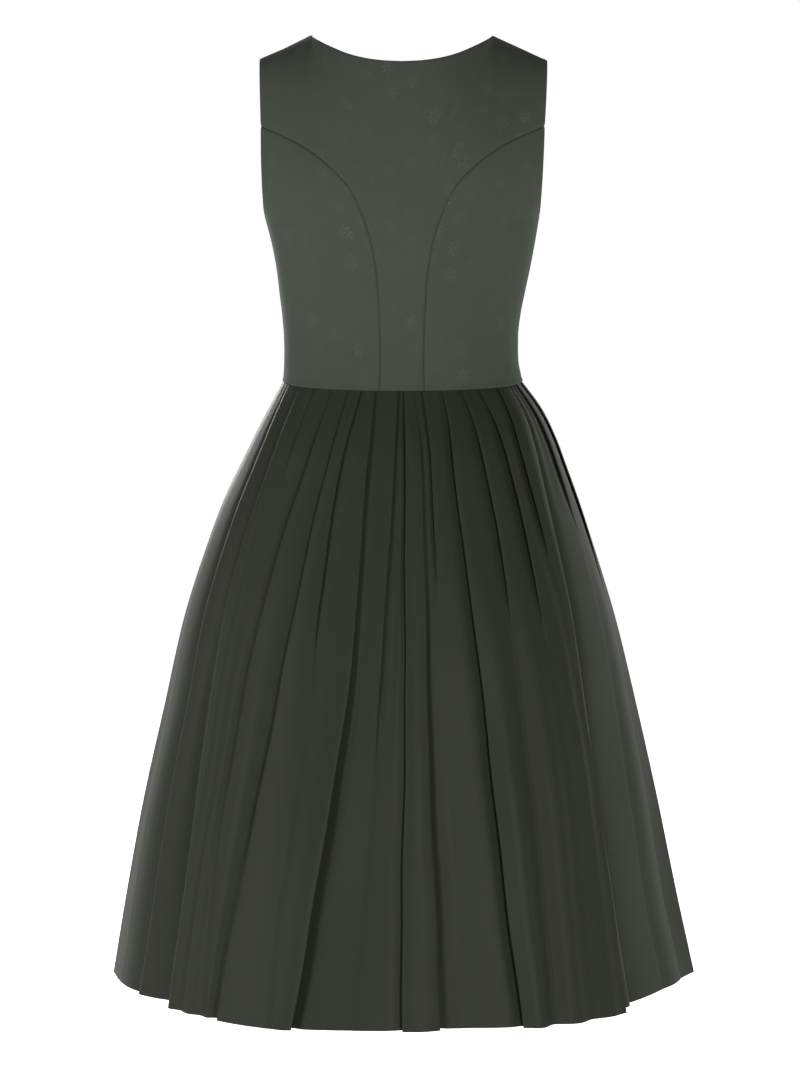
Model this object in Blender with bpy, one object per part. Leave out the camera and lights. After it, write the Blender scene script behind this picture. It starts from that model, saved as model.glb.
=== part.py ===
# Sleeveless dirndl on an invisible form, as a hollow garment of cut cloth panels.
# Metres, +Z up. The origin is between the shoulders, at the height where they are held.
# The centre back faces -Y and the centre front +Y, so the wearer's right side is at +X.
import bpy
import bmesh
import math
import numpy as np

# ---- driving dimensions ----
WAIST_Z = -0.375            # waist seam below the shoulders
SKIRT_DROP = 0.673          # waist seam to hem, straight down
SEAM_GAP = 0.0003           # free gap between two panels
BODICE_CLOTH = 0.0016       # bodice cloth with its interlining
SKIRT_CLOTH = 0.0017        # skirt cloth, measured level
BLADE_Z = -0.150            # height where the back and chest begin to round over
BODICE_SPLIT = 0.52         # share of a bodice column below that height
UNDERARM_Z = -0.188         # bottom of the armhole
ARMHOLE_TURN = 66.0         # how far round the form the armhole edge lies, degrees
NECK_X = 0.100              # half width of the neckline at the shoulder
NECK_POINT_Z = 0.0102       # shoulder seam at the neck
TIP_X = 0.1596              # half width at the shoulder tip
TIP_Z = -0.0172             # shoulder seam at the tip
FRONT_NECK_Z = -0.118       # lowest point of the front neckline
ROUNDING = 0.84             # fuller than an ellipse below 1
BUST_LIFT = 0.017           # how far the bust stands out of the plain front
BUST_X = 0.078
BUST_Z = -0.218
SEAM_TIP = 0.005            # share of a column left off where a side panel runs out to a point
CALM_TURN = {-1: 22.0, 1: 38.0}  # degrees up to which the inner columns of a centre panel spread

# Bodice form: outer half widths (to the armhole edge above the underarm) and half depths.
BODICE_FORM = {
    "z": (-0.375, -0.355, -0.328, -0.300, -0.275, -0.247, -0.218,
          -0.188, -0.165, -0.130, -0.090, -0.045, 0.000),
    "left": (0.1326, 0.1316, 0.1316, 0.1335, 0.1366, 0.1400, 0.1457,
             0.1532, 0.1545, 0.1554, 0.1562, 0.1572, 0.1580),
    "right": (0.1340, 0.1300, 0.1293, 0.1322, 0.1368, 0.1424, 0.1480,
              0.1528, 0.1540, 0.1556, 0.1575, 0.1595, 0.1612),
    "back": (0.0980, 0.0972, 0.0972, 0.0985, 0.1010, 0.1045, 0.1080,
             0.1105, 0.1118, 0.1120, 0.1120, 0.1120, 0.1120),
    "front": (0.0960, 0.0970, 0.0990, 0.1025, 0.1080, 0.1140, 0.1180,
              0.1190, 0.1180, 0.1150, 0.1120, 0.1100, 0.1100),
}
# Curved back seam: distance from the centre back at each height.
BACK_SEAM = {
    "z": (-0.375, -0.340, -0.310, -0.280, -0.2545, -0.225, -0.203, -0.183,
          -0.174, -0.153, -0.1355, -0.1226, -0.112, -0.1025, -0.0947, -0.0870),
    "x": (0.0247, 0.0240, 0.0245, 0.0258, 0.0273, 0.0310, 0.0358, 0.0423,
          0.0457, 0.0555, 0.0690, 0.0836, 0.0980, 0.1150, 0.1340, 0.1560),
}
# Curved front seam over the bust point.
FRONT_SEAM = {
    "z": (-0.375, -0.330, -0.290, -0.255, -0.225, -0.200, -0.175, -0.150, -0.128, -0.110, -0.098),
    "x": (0.0540, 0.0580, 0.0650, 0.0730, 0.0790, 0.0830, 0.0890, 0.1000, 0.1160, 0.1370, 0.1560),
}
BACK_NECKLINE = {
    "x": (0.0, 0.0235, 0.0450, 0.0614, 0.0786, 0.0946, 0.1000),
    "z": (-0.0121, -0.0111, -0.0083, -0.0043, 0.0018, 0.0080, 0.0102),
}
# Skirt form without its pleats: drop below the waist, half widths and half depths.
SKIRT_FORM = {
    "drop": (0.000, 0.0315, 0.063, 0.0912, 0.134, 0.202, 0.265, 0.362, 0.4685, 0.576, 0.673),
    "left": (0.1312, 0.1480, 0.1640, 0.1778, 0.1982, 0.2240, 0.2436, 0.2656, 0.2898, 0.3098, 0.3260),
    "right": (0.1326, 0.1555, 0.1712, 0.1818, 0.1972, 0.2196, 0.2386, 0.2624, 0.2866, 0.3088, 0.3302),
    "back": (0.0966, 0.1150, 0.1310, 0.1425, 0.1590, 0.1840, 0.2040, 0.2290, 0.2540, 0.2770, 0.2970),
    "front": (0.0946, 0.1150, 0.1320, 0.1440, 0.1610, 0.1850, 0.2040, 0.2280, 0.2520, 0.2740, 0.2930),
}
# A row per pleat, counted round from the left side over the centre back. Angles are in degrees,
# "at" four drops below the waist. turn: +1 folds its edge over the cloth on its left, -1 over its right.
# seam and full are the height of the fold in mm at the waist seam and just below it; fades is the drop
# where it has opened (0 for a pleat that reaches the hem); hem_left and hem_right are the levels in mm
# of the cloth on its two sides at the hem; tuck is how far the cloth runs under the edge there;
# belly is how far the cloth right of the pleat stands out in its middle lower down.
PLEAT_COLUMNS = ("name", "turn", "at_000", "at_070", "at_280", "at_673", "seam", "full", "fades",
                 "hem_left", "hem_right", "tuck", "belly")
BACK_PLEATS = (
    ("side_left", 1, -83.0, -82.5, -81.0, -80.0, 3.0, 5.5, 0.30, -6, -6, 0, 2),
    ("outer_left", 1, -72.5, -67.2, -65.6, -67.0, 3.2, 10.5, 0.0, -13, -6, 9, 2),
    ("panel_left", 1, -59.0, -56.3, -55.5, -54.2, 3.3, 13.0, 0.0, -26, -6, 16, 3),
    ("short_left", 1, -46.5, -47.0, -48.5, -48.0, 3.3, 6.5, 0.10, 0, 0, 0, 4),
    ("rolled_left", 1, -36.0, -37.0, -41.4, -42.3, 3.3, 10.0, 0.66, 3, 3, 0, 2),
    ("long_left", 1, -26.5, -28.0, -30.4, -37.0, 3.3, 10.5, 0.0, 3, 13, -6, 0),
    ("soft_left", -1, -19.6, -22.6, -22.0, -25.0, 3.3, 8.0, 0.34, 23, 23, 0, 0),
    ("panel_inner_left", -1, -12.8, -12.3, -12.4, -20.4, 3.3, 11.0, 0.0, 27, 9, 10, 1),
    ("centre_left", -1, -1.6, -2.7, -4.8, -9.0, 3.3, 9.0, 0.46, 4, 4, 0, 0),
    ("centre_right", 1, 0.8, 1.1, 0.7, -0.2, 3.3, 10.5, 0.0, -1, 7, 12, 1),
    ("centre_panel_edge", -1, 5.4, 7.0, 6.4, 7.2, 0.0, 5.0, 0.0, 6, -6, 9, 0),
    ("short_right", 1, 9.4, 10.0, 9.6, 12.0, 3.3, 8.0, 0.25, -2, -2, 0, 2),
    ("panel_inner_right", 1, 19.2, 18.4, 19.5, 22.4, 3.3, 11.5, 0.0, 4, 13, 13, 8),
    ("second_right", 1, 29.2, 30.2, 30.5, 29.5, 3.3, 12.0, 0.28, 8, 8, 0, 8),
    ("third_right", 1, 39.2, 40.4, 41.0, 38.0, 3.3, 11.5, 0.29, 8, 8, 0, 2),
    ("panel_right", 1, 51.5, 48.4, 49.7, 46.5, 3.3, 10.0, 0.22, 10, -9, -4, 0),
    ("strip_right", -1, 63.0, 57.6, 53.2, 52.4, 3.0, 7.0, 0.0, -9, -21, 6, 0),
    ("outer_right", 1, 72.0, 71.0, 71.0, 70.0, 3.0, 6.0, 0.17, -23, -23, 0, 0),
    ("side_right", 1, 83.0, 82.5, 82.0, 82.0, 3.0, 6.0, 0.25, -15, -15, 0, 0),
)
# The front is pleated in the same way; each row is turned half round and made a little different.
FRONT_SHIFT = (0.0, 1.2, -0.8, 0.6, -1.0, 0.9, 0.4, -0.7, -0.3, 0.3, 0.5, -0.6, 1.0,
               -0.9, 0.8, -0.7, 0.9, 0.5, 0.0)
FRONT_DEPTH = (1.0, 0.9, 1.05, 1.2, 0.9, 0.85, 1.1, 0.95, 0.9, 0.95, 1.1, 0.9, 0.9,
               1.05, 0.9, 1.1, 0.9, 1.1, 1.0)
SKIRT_DROPS = (0.0, 0.014, 0.032, 0.052, 0.078, 0.112, 0.155,
               0.205, 0.270, 0.350, 0.440, 0.535, 0.610, SKIRT_DROP)


# ---- small helpers ----
def smooth_lookup(xs, ys, x):
    """Value of a table column at x, along a smooth curve through its rows."""
    xs = np.asarray(xs, float)
    ys = np.asarray(ys, float)
    x = float(min(max(x, xs[0]), xs[-1]))
    i = int(min(max(np.searchsorted(xs, x) - 1, 0), len(xs) - 2))
    step = xs[i + 1] - xs[i]
    slope = (ys[i + 1] - ys[i]) / step
    before = (ys[i] - ys[i - 1]) / (xs[i] - xs[i - 1]) if i > 0 else slope
    after = (ys[i + 2] - ys[i + 1]) / (xs[i + 2] - xs[i + 1]) if i < len(xs) - 2 else slope
    m0 = 0.5 * (before + slope) if before * slope > 0 else 0.0
    m1 = 0.5 * (slope + after) if slope * after > 0 else 0.0
    if i == 0:
        m0 = slope
    if i == len(xs) - 2:
        m1 = slope
    f = (x - xs[i]) / step
    return float((2 * f**3 - 3 * f**2 + 1) * ys[i] + (f**3 - 2 * f**2 + f) * step * m0
                 + (3 * f**2 - 2 * f**3) * ys[i + 1] + (f**3 - f**2) * step * m1)


def ramp(x, start, end):
    f = min(max((x - start) / (end - start), 0.0), 1.0)
    return f * f * (3 - 2 * f)


def make_material(name, color, roughness):
    material = bpy.data.materials.new(name)
    material.use_nodes = True
    shader = material.node_tree.nodes["Principled BSDF"]
    shader.inputs["Base Color"].default_value = (*color, 1.0)
    shader.inputs["Roughness"].default_value = roughness
    material.diffuse_color = (*color, 1.0)
    return material


def make_shell(name, outer, inner, material):
    """Closed wall between two grids of points with the same rows and columns."""
    mesh = bpy.data.meshes.new(name)
    work = bmesh.new()
    rows = len(outer)
    cols = len(outer[0])
    skins = [[[work.verts.new(tuple(p)) for p in row] for row in grid] for grid in (outer, inner)]
    for r in range(rows - 1):
        for c in range(cols - 1):
            a, b = skins[0], skins[1]
            work.faces.new((a[r][c], a[r][c + 1], a[r + 1][c + 1], a[r + 1][c]))
            work.faces.new((b[r][c], b[r + 1][c], b[r + 1][c + 1], b[r][c + 1]))
    rim = [(0, c) for c in range(cols)] + [(r, cols - 1) for r in range(1, rows)]
    rim += [(rows - 1, c) for c in range(cols - 2, -1, -1)] + [(r, 0) for r in range(rows - 2, 0, -1)]
    for here, there in zip(rim, rim[1:] + rim[:1]):
        work.faces.new((skins[0][here[0]][here[1]], skins[1][here[0]][here[1]],
                        skins[1][there[0]][there[1]], skins[0][there[0]][there[1]]))
    bmesh.ops.recalc_face_normals(work, faces=work.faces)
    work.to_mesh(mesh)
    work.free()
    body = bpy.data.objects.new(name, mesh)
    bpy.context.scene.collection.objects.link(body)
    mesh.materials.append(material)
    return body


# ---- bodice form ----
def level_of_height(z):
    """Position 0 to 1 along a bodice column of a height below the blades."""
    return BODICE_SPLIT * (z - WAIST_Z) / (BLADE_Z - WAIST_Z)


UNDERARM_V = level_of_height(UNDERARM_Z)


def armhole_turn(v):
    """Angle of the armhole edge round the form: the side seam at the underarm, then forward."""
    rise = min(max((v - UNDERARM_V) / (0.60 - UNDERARM_V), 0.0), 1.0)
    return math.radians(90.0 - (90.0 - ARMHOLE_TURN) * math.sqrt(1.0 - (1.0 - rise) ** 2))


def ridge_height(x):
    """Height of the shoulder line, and of the neck above it where the neckline is cut."""
    x = abs(x)
    if x >= NECK_X:
        return NECK_POINT_Z + (TIP_Z - NECK_POINT_Z) * (x - NECK_X) / (TIP_X - NECK_X)
    return NECK_POINT_Z + 0.075 * (1.0 - (x / NECK_X) ** 2) ** 1.2


def nominal_height(v):
    if v <= BODICE_SPLIT:
        return WAIST_Z + v / BODICE_SPLIT * (BLADE_Z - WAIST_Z)
    return BLADE_Z * (1.0 - math.sin((v - BODICE_SPLIT) / (1.0 - BODICE_SPLIT) * math.pi / 2))


def bodice_point(face, t, v):
    """Point on the bodice form: face -1 back or +1 front, t round from the centre, v upward."""
    z = nominal_height(v)
    side = "left" if t < 0 else "right"
    reach = smooth_lookup(BODICE_FORM["z"], BODICE_FORM[side], z)
    reach /= math.sin(armhole_turn(v))
    depth = smooth_lookup(BODICE_FORM["z"], BODICE_FORM["back" if face < 0 else "front"], z)
    x = reach * math.sin(t)
    y = depth * max(math.cos(t), 0.0) ** ROUNDING
    if face > 0:
        lift = math.exp(-((abs(x) - BUST_X) / 0.045) ** 2 - ((z - BUST_Z) / 0.052) ** 2)
        y += BUST_LIFT * lift * (1.0 - math.sin(t) ** 6)
    if v > BODICE_SPLIT:
        over = (v - BODICE_SPLIT) / (1.0 - BODICE_SPLIT) * math.pi / 2
        z = BLADE_Z + (ridge_height(x) - BLADE_Z) * math.sin(over)
        y *= math.cos(over)
    return np.array((x, face * y, z))


def bodice_normal(face, t, v):
    d = 0.002
    limit = math.pi / 2
    t0, t1 = max(t - d, -limit), min(t + d, limit)
    v0, v1 = max(v - d, 0.0), min(v + d, 0.9995)
    across = bodice_point(face, t1, min(v, 0.9995)) - bodice_point(face, t0, min(v, 0.9995))
    upward = bodice_point(face, t, v1) - bodice_point(face, t, v0)
    normal = np.cross(across, upward) * -face
    if v < 1e-6:
        normal[2] = 0.0
    if abs(t) > limit - 1e-6:
        normal[1] = 0.0
    return normal / np.linalg.norm(normal)


def turn_of_offset(face, x, v):
    """Angle t at which a bodice row reaches the distance x from the centre."""
    side = "left" if x < 0 else "right"
    reach = smooth_lookup(BODICE_FORM["z"], BODICE_FORM[side], nominal_height(v))
    reach /= math.sin(armhole_turn(v))
    return math.asin(min(max(x / reach, -1.0), 1.0))


def real_height(face, t, v):
    return bodice_point(face, t, v)[2]


def seam_turn(face, seam, v, sign):
    """Angle of a curved seam at the level v, or of the armhole edge once the seam has reached it."""
    edge = armhole_turn(v)
    t = edge * 0.5
    for _ in range(30):
        z = real_height(face, sign * t, v)
        want = abs(turn_of_offset(face, sign * smooth_lookup(seam["z"], seam["x"], z), v))
        t = 0.5 * (t + min(want, edge))
    z = real_height(face, sign * t, v)
    if z >= seam["z"][-1] - 1e-4:
        return sign * edge
    return sign * min(t, edge)


def seam_end(face, seam, sign):
    """Level where the curved seam runs into the armhole edge."""
    low, high = UNDERARM_V, 0.99
    for _ in range(40):
        mid = 0.5 * (low + high)
        if abs(seam_turn(face, seam, mid, sign)) < armhole_turn(mid) - 1e-4:
            low = mid
        else:
            high = mid
    return high


def neckline_point(face, x):
    """Level and angle at which the neckline is x from the centre."""
    if face < 0:
        cut = smooth_lookup(BACK_NECKLINE["x"], BACK_NECKLINE["z"], abs(x))
    else:
        cut = FRONT_NECK_Z + (NECK_POINT_Z - FRONT_NECK_Z) * (abs(x) / NECK_X) ** 3.2
    low, high = 0.3, 1.0
    for _ in range(40):
        mid = 0.5 * (low + high)
        if real_height(face, turn_of_offset(face, x, mid), mid) < cut:
            low = mid
        else:
            high = mid
    return high, abs(turn_of_offset(face, x, high))


def column_turn(face, share, edge):
    """Angle at a share of the way to a panel's edge. The inner columns don't follow its sweep."""
    soft = math.radians(3.0)
    cap = math.radians(CALM_TURN[face])
    calm = -soft * math.log(math.exp(-edge / soft) + math.exp(-cap / soft))
    return calm * share + (edge - calm) * share**5


def column_share(face, turn, edge):
    low, high = 0.0, 1.0
    for _ in range(30):
        mid = 0.5 * (low + high)
        if column_turn(face, mid, edge) < turn:
            low = mid
        else:
            high = mid
    return high


def inset_turn(face, t, v, gap):
    """Change of t that moves a point sideways by the gap."""
    d = 1e-3
    span = np.linalg.norm(bodice_point(face, t - d if t > 0 else t + d, v) - bodice_point(face, t, v))
    return gap * d / span


def inset_level(face, t, v, gap):
    d = 2e-3
    span = np.linalg.norm(bodice_point(face, t, v) - bodice_point(face, t, v - d))
    return gap * d / span


def even(count):
    return [i / count for i in range(count + 1)]


def side_panel(name, face, seam, sign, columns, rows, material):
    """Panel between a curved seam and the side seam, closed above by the lower armhole."""
    end = seam_end(face, seam, sign)
    gap = SEAM_GAP * 0.62

    def inner_edge(v):
        t = seam_turn(face, seam, v, sign)
        return abs(t) + inset_turn(face, abs(t), v, gap)

    def top(share):
        if share <= 0.0:
            return end - SEAM_TIP
        low, high = UNDERARM_V, end - SEAM_TIP
        for _ in range(36):
            mid = 0.5 * (low + high)
            t = inner_edge(mid) + (math.pi / 2 - inner_edge(mid)) * share
            if t < armhole_turn(mid):
                low = mid
            else:
                high = mid
        return 0.5 * (low + high)

    tops = [top(s) for s in even(columns)]
    outer, inner = [], []
    for r in even(rows):
        row_out, row_in = [], []
        for s, v_top in zip(even(columns), tops):
            v = r * v_top
            t0 = inner_edge(v)
            t1 = math.pi / 2
            t = sign * (t0 + (t1 - t0) * s)
            point = bodice_point(face, t, v)
            normal = bodice_normal(face, t, v)
            if s == 1.0:
                point[1] += face * SEAM_GAP / 2
            if v < 1e-6:
                point[2] += SEAM_GAP / 2
            row_out.append(point)
            row_in.append(point - BODICE_CLOTH * normal)
        outer.append(row_out)
        inner.append(row_in)
    return make_shell(name, outer, inner, material), end


def centre_panel(name, face, seam, signs, neck_cells, shoulder_cells, seam_rows, upper_rows, material):
    """Panel from the waist to the shoulder: the whole centre back, or one half of the centre front."""
    end = seam_end(face, seam, 1)
    gap = SEAM_GAP * 0.62

    def outer_edge(v, sign):
        t = abs(seam_turn(face, seam, min(v, 1.0), sign))
        if v < end:
            t -= inset_turn(face, t, v, gap)
        return t

    columns = []
    for sign in signs:
        # the neckline in even steps along its length, then the shoulder seam
        xs = [NECK_X * i / 150 for i in range(150)] + [NECK_X - 1e-5]
        found = [neckline_point(face, sign * x) for x in xs]
        line = [bodice_point(face, sign * turn, level) for level, turn in found]
        run = [0.0]
        for here, there in zip(line, line[1:]):
            run.append(run[-1] + float(np.linalg.norm(there - here)))
        tops = []
        for i in range(neck_cells + 1):
            x = float(np.interp(run[-1] * i / neck_cells, run, xs))
            level, turn = neckline_point(face, sign * x)
            tops.append((level, column_share(face, turn, outer_edge(level, sign))))
        turn = abs(turn_of_offset(face, sign * (NECK_X + 0.0002), 0.9995))
        neck = column_share(face, turn, outer_edge(0.9995, sign))
        tops[-1] = (1.0, neck)
        for i in range(1, shoulder_cells + 1):
            tops.append((1.0, neck + (1.0 - neck) * i / shoulder_cells))
        half = []
        for i, (level, share) in enumerate(tops):
            if level >= 1.0:
                turn = sign * column_turn(face, share, outer_edge(0.9995, sign))
                level = 1.0 - inset_level(face, turn, 0.998, SEAM_GAP * 0.5)
            half.append((sign, i / (len(tops) - 1), share, level))
        if sign < 0:
            half.reverse()
        columns += half[1:] if columns else half
    rows = [("seam", r * (end - SEAM_TIP) / end) for r in even(seam_rows)] + [("seam", 1.0)]
    rows += [("upper", r) for r in even(upper_rows)[1:]]
    outer, inner = [], []
    for kind, r in rows:
        row_out, row_in = [], []
        for sign, low_share, top_share, v_top in columns:
            knee = min(end, 0.80 * v_top)
            knee = knee + (end - knee) * low_share**4
            v = r * knee if kind == "seam" else knee + r * (v_top - knee)
            share = low_share + (top_share - low_share) * ramp(v / v_top, 0.05, 0.80)
            t = sign * column_turn(face, share, outer_edge(v, sign))
            point = bodice_point(face, t, v)
            normal = bodice_normal(face, t, v)
            if share == 0.0 and len(signs) == 1:
                point[0] += sign * SEAM_GAP / 2
                normal[0] = 0.0
            if v < 1e-6:
                point[2] += SEAM_GAP / 2
            row_out.append(point)
            row_in.append(point - BODICE_CLOTH * normal)
        outer.append(row_out)
        inner.append(row_in)
    return make_shell(name, outer, inner, material)


# ---- skirt form and pleats ----
def skirt_base(face, t, drop):
    """Point on the smooth skirt form, its outward direction and its length per radian."""
    side = "left" if math.sin(t) < 0 else "right"
    half = smooth_lookup(SKIRT_FORM["drop"], SKIRT_FORM[side], drop)
    depth = smooth_lookup(SKIRT_FORM["drop"], SKIRT_FORM["back" if face < 0 else "front"], drop)
    x, y = half * math.sin(t), depth * math.cos(t)
    out = np.array((depth * math.sin(t), face * half * math.cos(t)))
    speed = math.hypot(half * math.cos(t), depth * math.sin(t))
    return np.array((x, face * y)), out / np.linalg.norm(out), speed


def pleat_rows(face):
    """The pleat table of one face; the front rows are turned half round and varied."""
    rows = [dict(zip(PLEAT_COLUMNS, row)) for row in BACK_PLEATS]
    if face > 0:
        turned = []
        for i, (row, shift, factor) in enumerate(zip(rows, FRONT_SHIFT, FRONT_DEPTH)):
            new = dict(row)
            new["belly"] = rows[i - 1]["belly"] if i else 0
            new["turn"] = -row["turn"]
            for key in ("at_000", "at_070", "at_280", "at_673"):
                new[key] = -row[key] + shift
            new["full"] = row["full"] * factor
            new["hem_left"], new["hem_right"] = row["hem_right"] * factor, row["hem_left"] * factor
            turned.append(new)
        rows = turned
    rows.sort(key=lambda row: row["at_000"])
    return rows


def pleat_state(row, drop):
    """Angle, levels left and right and tuck (all mm) of a pleat at a drop."""
    angles = [row[key] for key in ("at_000", "at_070", "at_280", "at_673")]
    at = smooth_lookup((0.0, 0.07, 0.28, SKIRT_DROP), angles, drop)
    height = row["seam"] + (row["full"] - row["seam"]) * ramp(drop, 0.0, 0.06)
    late = ramp(drop, 0.14, 0.60)
    if row["fades"] > 0:
        alive = 1.0 - ramp(drop, 0.55 * row["fades"], row["fades"])
    else:
        alive = 1.0 - late
    height *= alive
    tuck = (1.0 + 3.5 * ramp(drop, 0.0, 0.05)) * alive
    if row["fades"] > 0:
        tuck -= 5.0 * (1.0 - alive)
    else:
        tuck += row["tuck"] * late
    left = row["hem_left"] * late - 0.5 * row["turn"] * height
    right = row["hem_right"] * late + 0.5 * row["turn"] * height
    return math.radians(at), left, right, tuck


def skirt_outline(face, drop):
    """Middle line of the pleated cloth in plan: a point list from side seam to side seam."""
    marks = []
    rows = pleat_rows(face)
    states = [pleat_state(row, drop) for row in rows]
    ends = [-math.pi / 2] + [s[0] for s in states] + [math.pi / 2]
    marks.append((-math.pi / 2, 0.0))
    for i, (row, (t, left, right, tuck)) in enumerate(zip(rows, states)):
        speed = skirt_base(face, t, drop)[2] * 1000.0
        room_left = (t - ends[i]) * speed * (0.5 if i > 0 else 1.0)
        room_right = (ends[i + 2] - t) * speed * (0.5 if i < len(rows) - 1 else 1.0)
        tuck = min(tuck, 0.55 * room_left, 0.55 * room_right)
        near = abs(right - left)
        if row["turn"] > 0:
            crest = min(max(tuck, 0.0) + 2.0 + 0.35 * near, 0.9 * room_right)
            foot = min(2.5 + 0.4 * near, 0.8 * room_left)
            edge = right - 0.30 * (right - left)
            chain = ((-foot, left), (tuck, left), (0.0, edge), (crest, right))
        else:
            crest = min(max(tuck, 0.0) + 2.0 + 0.35 * near, 0.9 * room_left)
            foot = min(2.5 + 0.4 * near, 0.8 * room_right)
            edge = left - 0.30 * (left - right)
            chain = ((-crest, left), (0.0, edge), (-tuck, right), (foot, right))
        if tuck < 0.0:
            low, high = sorted((chain[1][0], chain[2][0]))
            chain = (chain[0], (low, chain[1][1]), (high, chain[2][1]), chain[3])
        for along, level in chain:
            marks.append((t + along / speed, level))
        if i < len(rows) - 1:
            after = states[i + 1]
            swell = 1.2 * ramp(drop, 0.0, 0.05) + row["belly"] * ramp(drop, 0.12, 0.45)
            marks.append((0.5 * (t + after[0]), 0.5 * (right + after[1]) + swell))
    marks.append((math.pi / 2, 0.0))
    points = []
    for t, level in marks:
        place, out, _ = skirt_base(face, t, drop)
        points.append(place + out * level * 0.001)
    return points


def thicken(points, thickness, first, last):
    """Outer and inner offsets of a plan line; its ends are cut along the given directions."""
    outer, inner = [], []
    for i, p in enumerate(points):
        if i == 0 or i == len(points) - 1:
            miter = (first if i == 0 else last) * thickness / 2
        else:
            a = (p - points[i - 1]) / np.linalg.norm(p - points[i - 1])
            b = (points[i + 1] - p) / np.linalg.norm(points[i + 1] - p)
            na, nb = np.array((a[1], -a[0])), np.array((b[1], -b[0]))
            total = na + nb
            size = np.linalg.norm(total)
            if size < 1e-3:
                total, size = na, 1.0
            unit = total / size
            miter = unit * min(thickness / 2 / max(unit @ na, 0.3), thickness * 1.2)
        outer.append(p + miter)
        inner.append(p - miter)
    return outer, inner


def skirt_panel(name, face, material):
    outer, inner = [], []
    for drop in SKIRT_DROPS:
        line = skirt_outline(face, drop)
        shift = np.array((0.0, face * SEAM_GAP / 2))
        line[0] = line[0] + shift
        line[-1] = line[-1] + shift
        ends = [np.array((-1.0, 0.0)), np.array((1.0, 0.0))]
        if face > 0:
            line, ends = line[::-1], ends[::-1]
        out_row, in_row = thicken(line, SKIRT_CLOTH, *ends)
        z = WAIST_Z - drop - (SEAM_GAP / 2 if drop == 0.0 else 0.0)
        outer.append([np.array((p[0], p[1], z)) for p in out_row])
        inner.append([np.array((p[0], p[1], z)) for p in in_row])
    return make_shell(name, outer, inner, material)


def build():
    for thing in list(bpy.data.objects):
        bpy.data.objects.remove(thing, do_unlink=True)
    bodice = make_material("bodice_cloth", (0.060, 0.066, 0.055), 0.75)
    skirt = make_material("skirt_cloth", (0.032, 0.036, 0.030), 0.62)
    centre_panel("bodice_centre_back", -1, BACK_SEAM, (-1, 1), 6, 3, 12, 6, bodice)
    side_panel("bodice_side_back_left", -1, BACK_SEAM, -1, 8, 12, bodice)
    side_panel("bodice_side_back_right", -1, BACK_SEAM, 1, 8, 12, bodice)
    centre_panel("bodice_centre_front_left", 1, FRONT_SEAM, (-1,), 7, 3, 12, 6, bodice)
    centre_panel("bodice_centre_front_right", 1, FRONT_SEAM, (1,), 7, 3, 12, 6, bodice)
    side_panel("bodice_side_front_left", 1, FRONT_SEAM, -1, 8, 12, bodice)
    side_panel("bodice_side_front_right", 1, FRONT_SEAM, 1, 8, 12, bodice)
    skirt_panel("skirt_back", -1, skirt)
    skirt_panel("skirt_front", 1, skirt)


build()
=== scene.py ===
import math

import bmesh
import bpy
import numpy as np
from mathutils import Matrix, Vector


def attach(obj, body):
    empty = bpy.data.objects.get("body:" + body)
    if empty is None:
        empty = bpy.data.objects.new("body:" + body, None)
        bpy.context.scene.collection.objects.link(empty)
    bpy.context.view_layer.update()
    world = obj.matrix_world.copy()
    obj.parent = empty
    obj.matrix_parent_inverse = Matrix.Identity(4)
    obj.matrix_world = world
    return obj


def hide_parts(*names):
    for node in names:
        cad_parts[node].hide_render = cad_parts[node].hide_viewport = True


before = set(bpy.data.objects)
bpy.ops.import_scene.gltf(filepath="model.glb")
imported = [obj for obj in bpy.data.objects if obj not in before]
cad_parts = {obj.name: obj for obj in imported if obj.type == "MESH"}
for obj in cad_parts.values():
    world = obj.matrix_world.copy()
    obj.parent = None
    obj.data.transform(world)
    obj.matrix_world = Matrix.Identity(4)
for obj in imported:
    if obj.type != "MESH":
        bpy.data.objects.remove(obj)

bl_info = {
    "name": "Pleated dirndl",
    "version": (1, 0, 0),
    "blender": (4, 5, 0),
    "location": "3D View > Sidebar > Dirndl",
    "description": "Sleeveless dirndl with a curved-seam bodice and a pleated skirt",
    "category": "Object",
}

BACK, FRONT = -1, 1
SIDES = (("left", -1), ("right", 1))
MM = 0.001

# ---- the cut of the bodice ----
WAIST_Z = -0.375            # waist seam below the shoulders
BLADE_Z = -0.150            # height where the back and chest begin to round over
BODICE_SPLIT = 0.52         # share of a bodice column below that height
UNDERARM_Z = -0.188         # bottom of the armhole
ARMHOLE_TURN = 66.0         # how far round the form the armhole edge lies, degrees
NECK_X = 0.100              # half width of the neckline at the shoulder
NECK_POINT_Z = 0.0102       # shoulder seam at the neck
TIP_X = 0.1596              # half width at the shoulder tip
TIP_Z = -0.0172             # shoulder seam at the tip
FRONT_NECK_Z = -0.118       # lowest point of the front neckline
ROUNDING = 0.84             # fuller than an ellipse below 1
BUST_LIFT = 0.017           # how far the bust stands out of the plain front
CALM_TURN = {-1: math.radians(22.0), 1: math.radians(38.0)}  # spread of a centre panel's inner columns
BUST_X = 0.078
BUST_Z = -0.218
SEAM_TIP = 0.0008           # share of a column left off where a side panel runs out to a point
BUST_SPREAD = (0.045, 0.052)  # how far the bust's lift reaches sideways and upwards
NECK_ARCH = 0.075           # how far the form arches up between the two neck points
SCOOP = 3.2                 # power of the front neckline, flat at the centre
ARMHOLE_TOP_V = 0.60        # level from which the armhole edge stands straight
GAP_SHARE = 0.62            # share of a seam's gap that each panel gives
NECK_SAMPLES, STRAP_SAMPLES = 400, 90  # close steps along the neckline and the shoulder seam
HALF_WIDTH = 0.14           # about half the bodice's width, which turns an angle into a length

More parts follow.
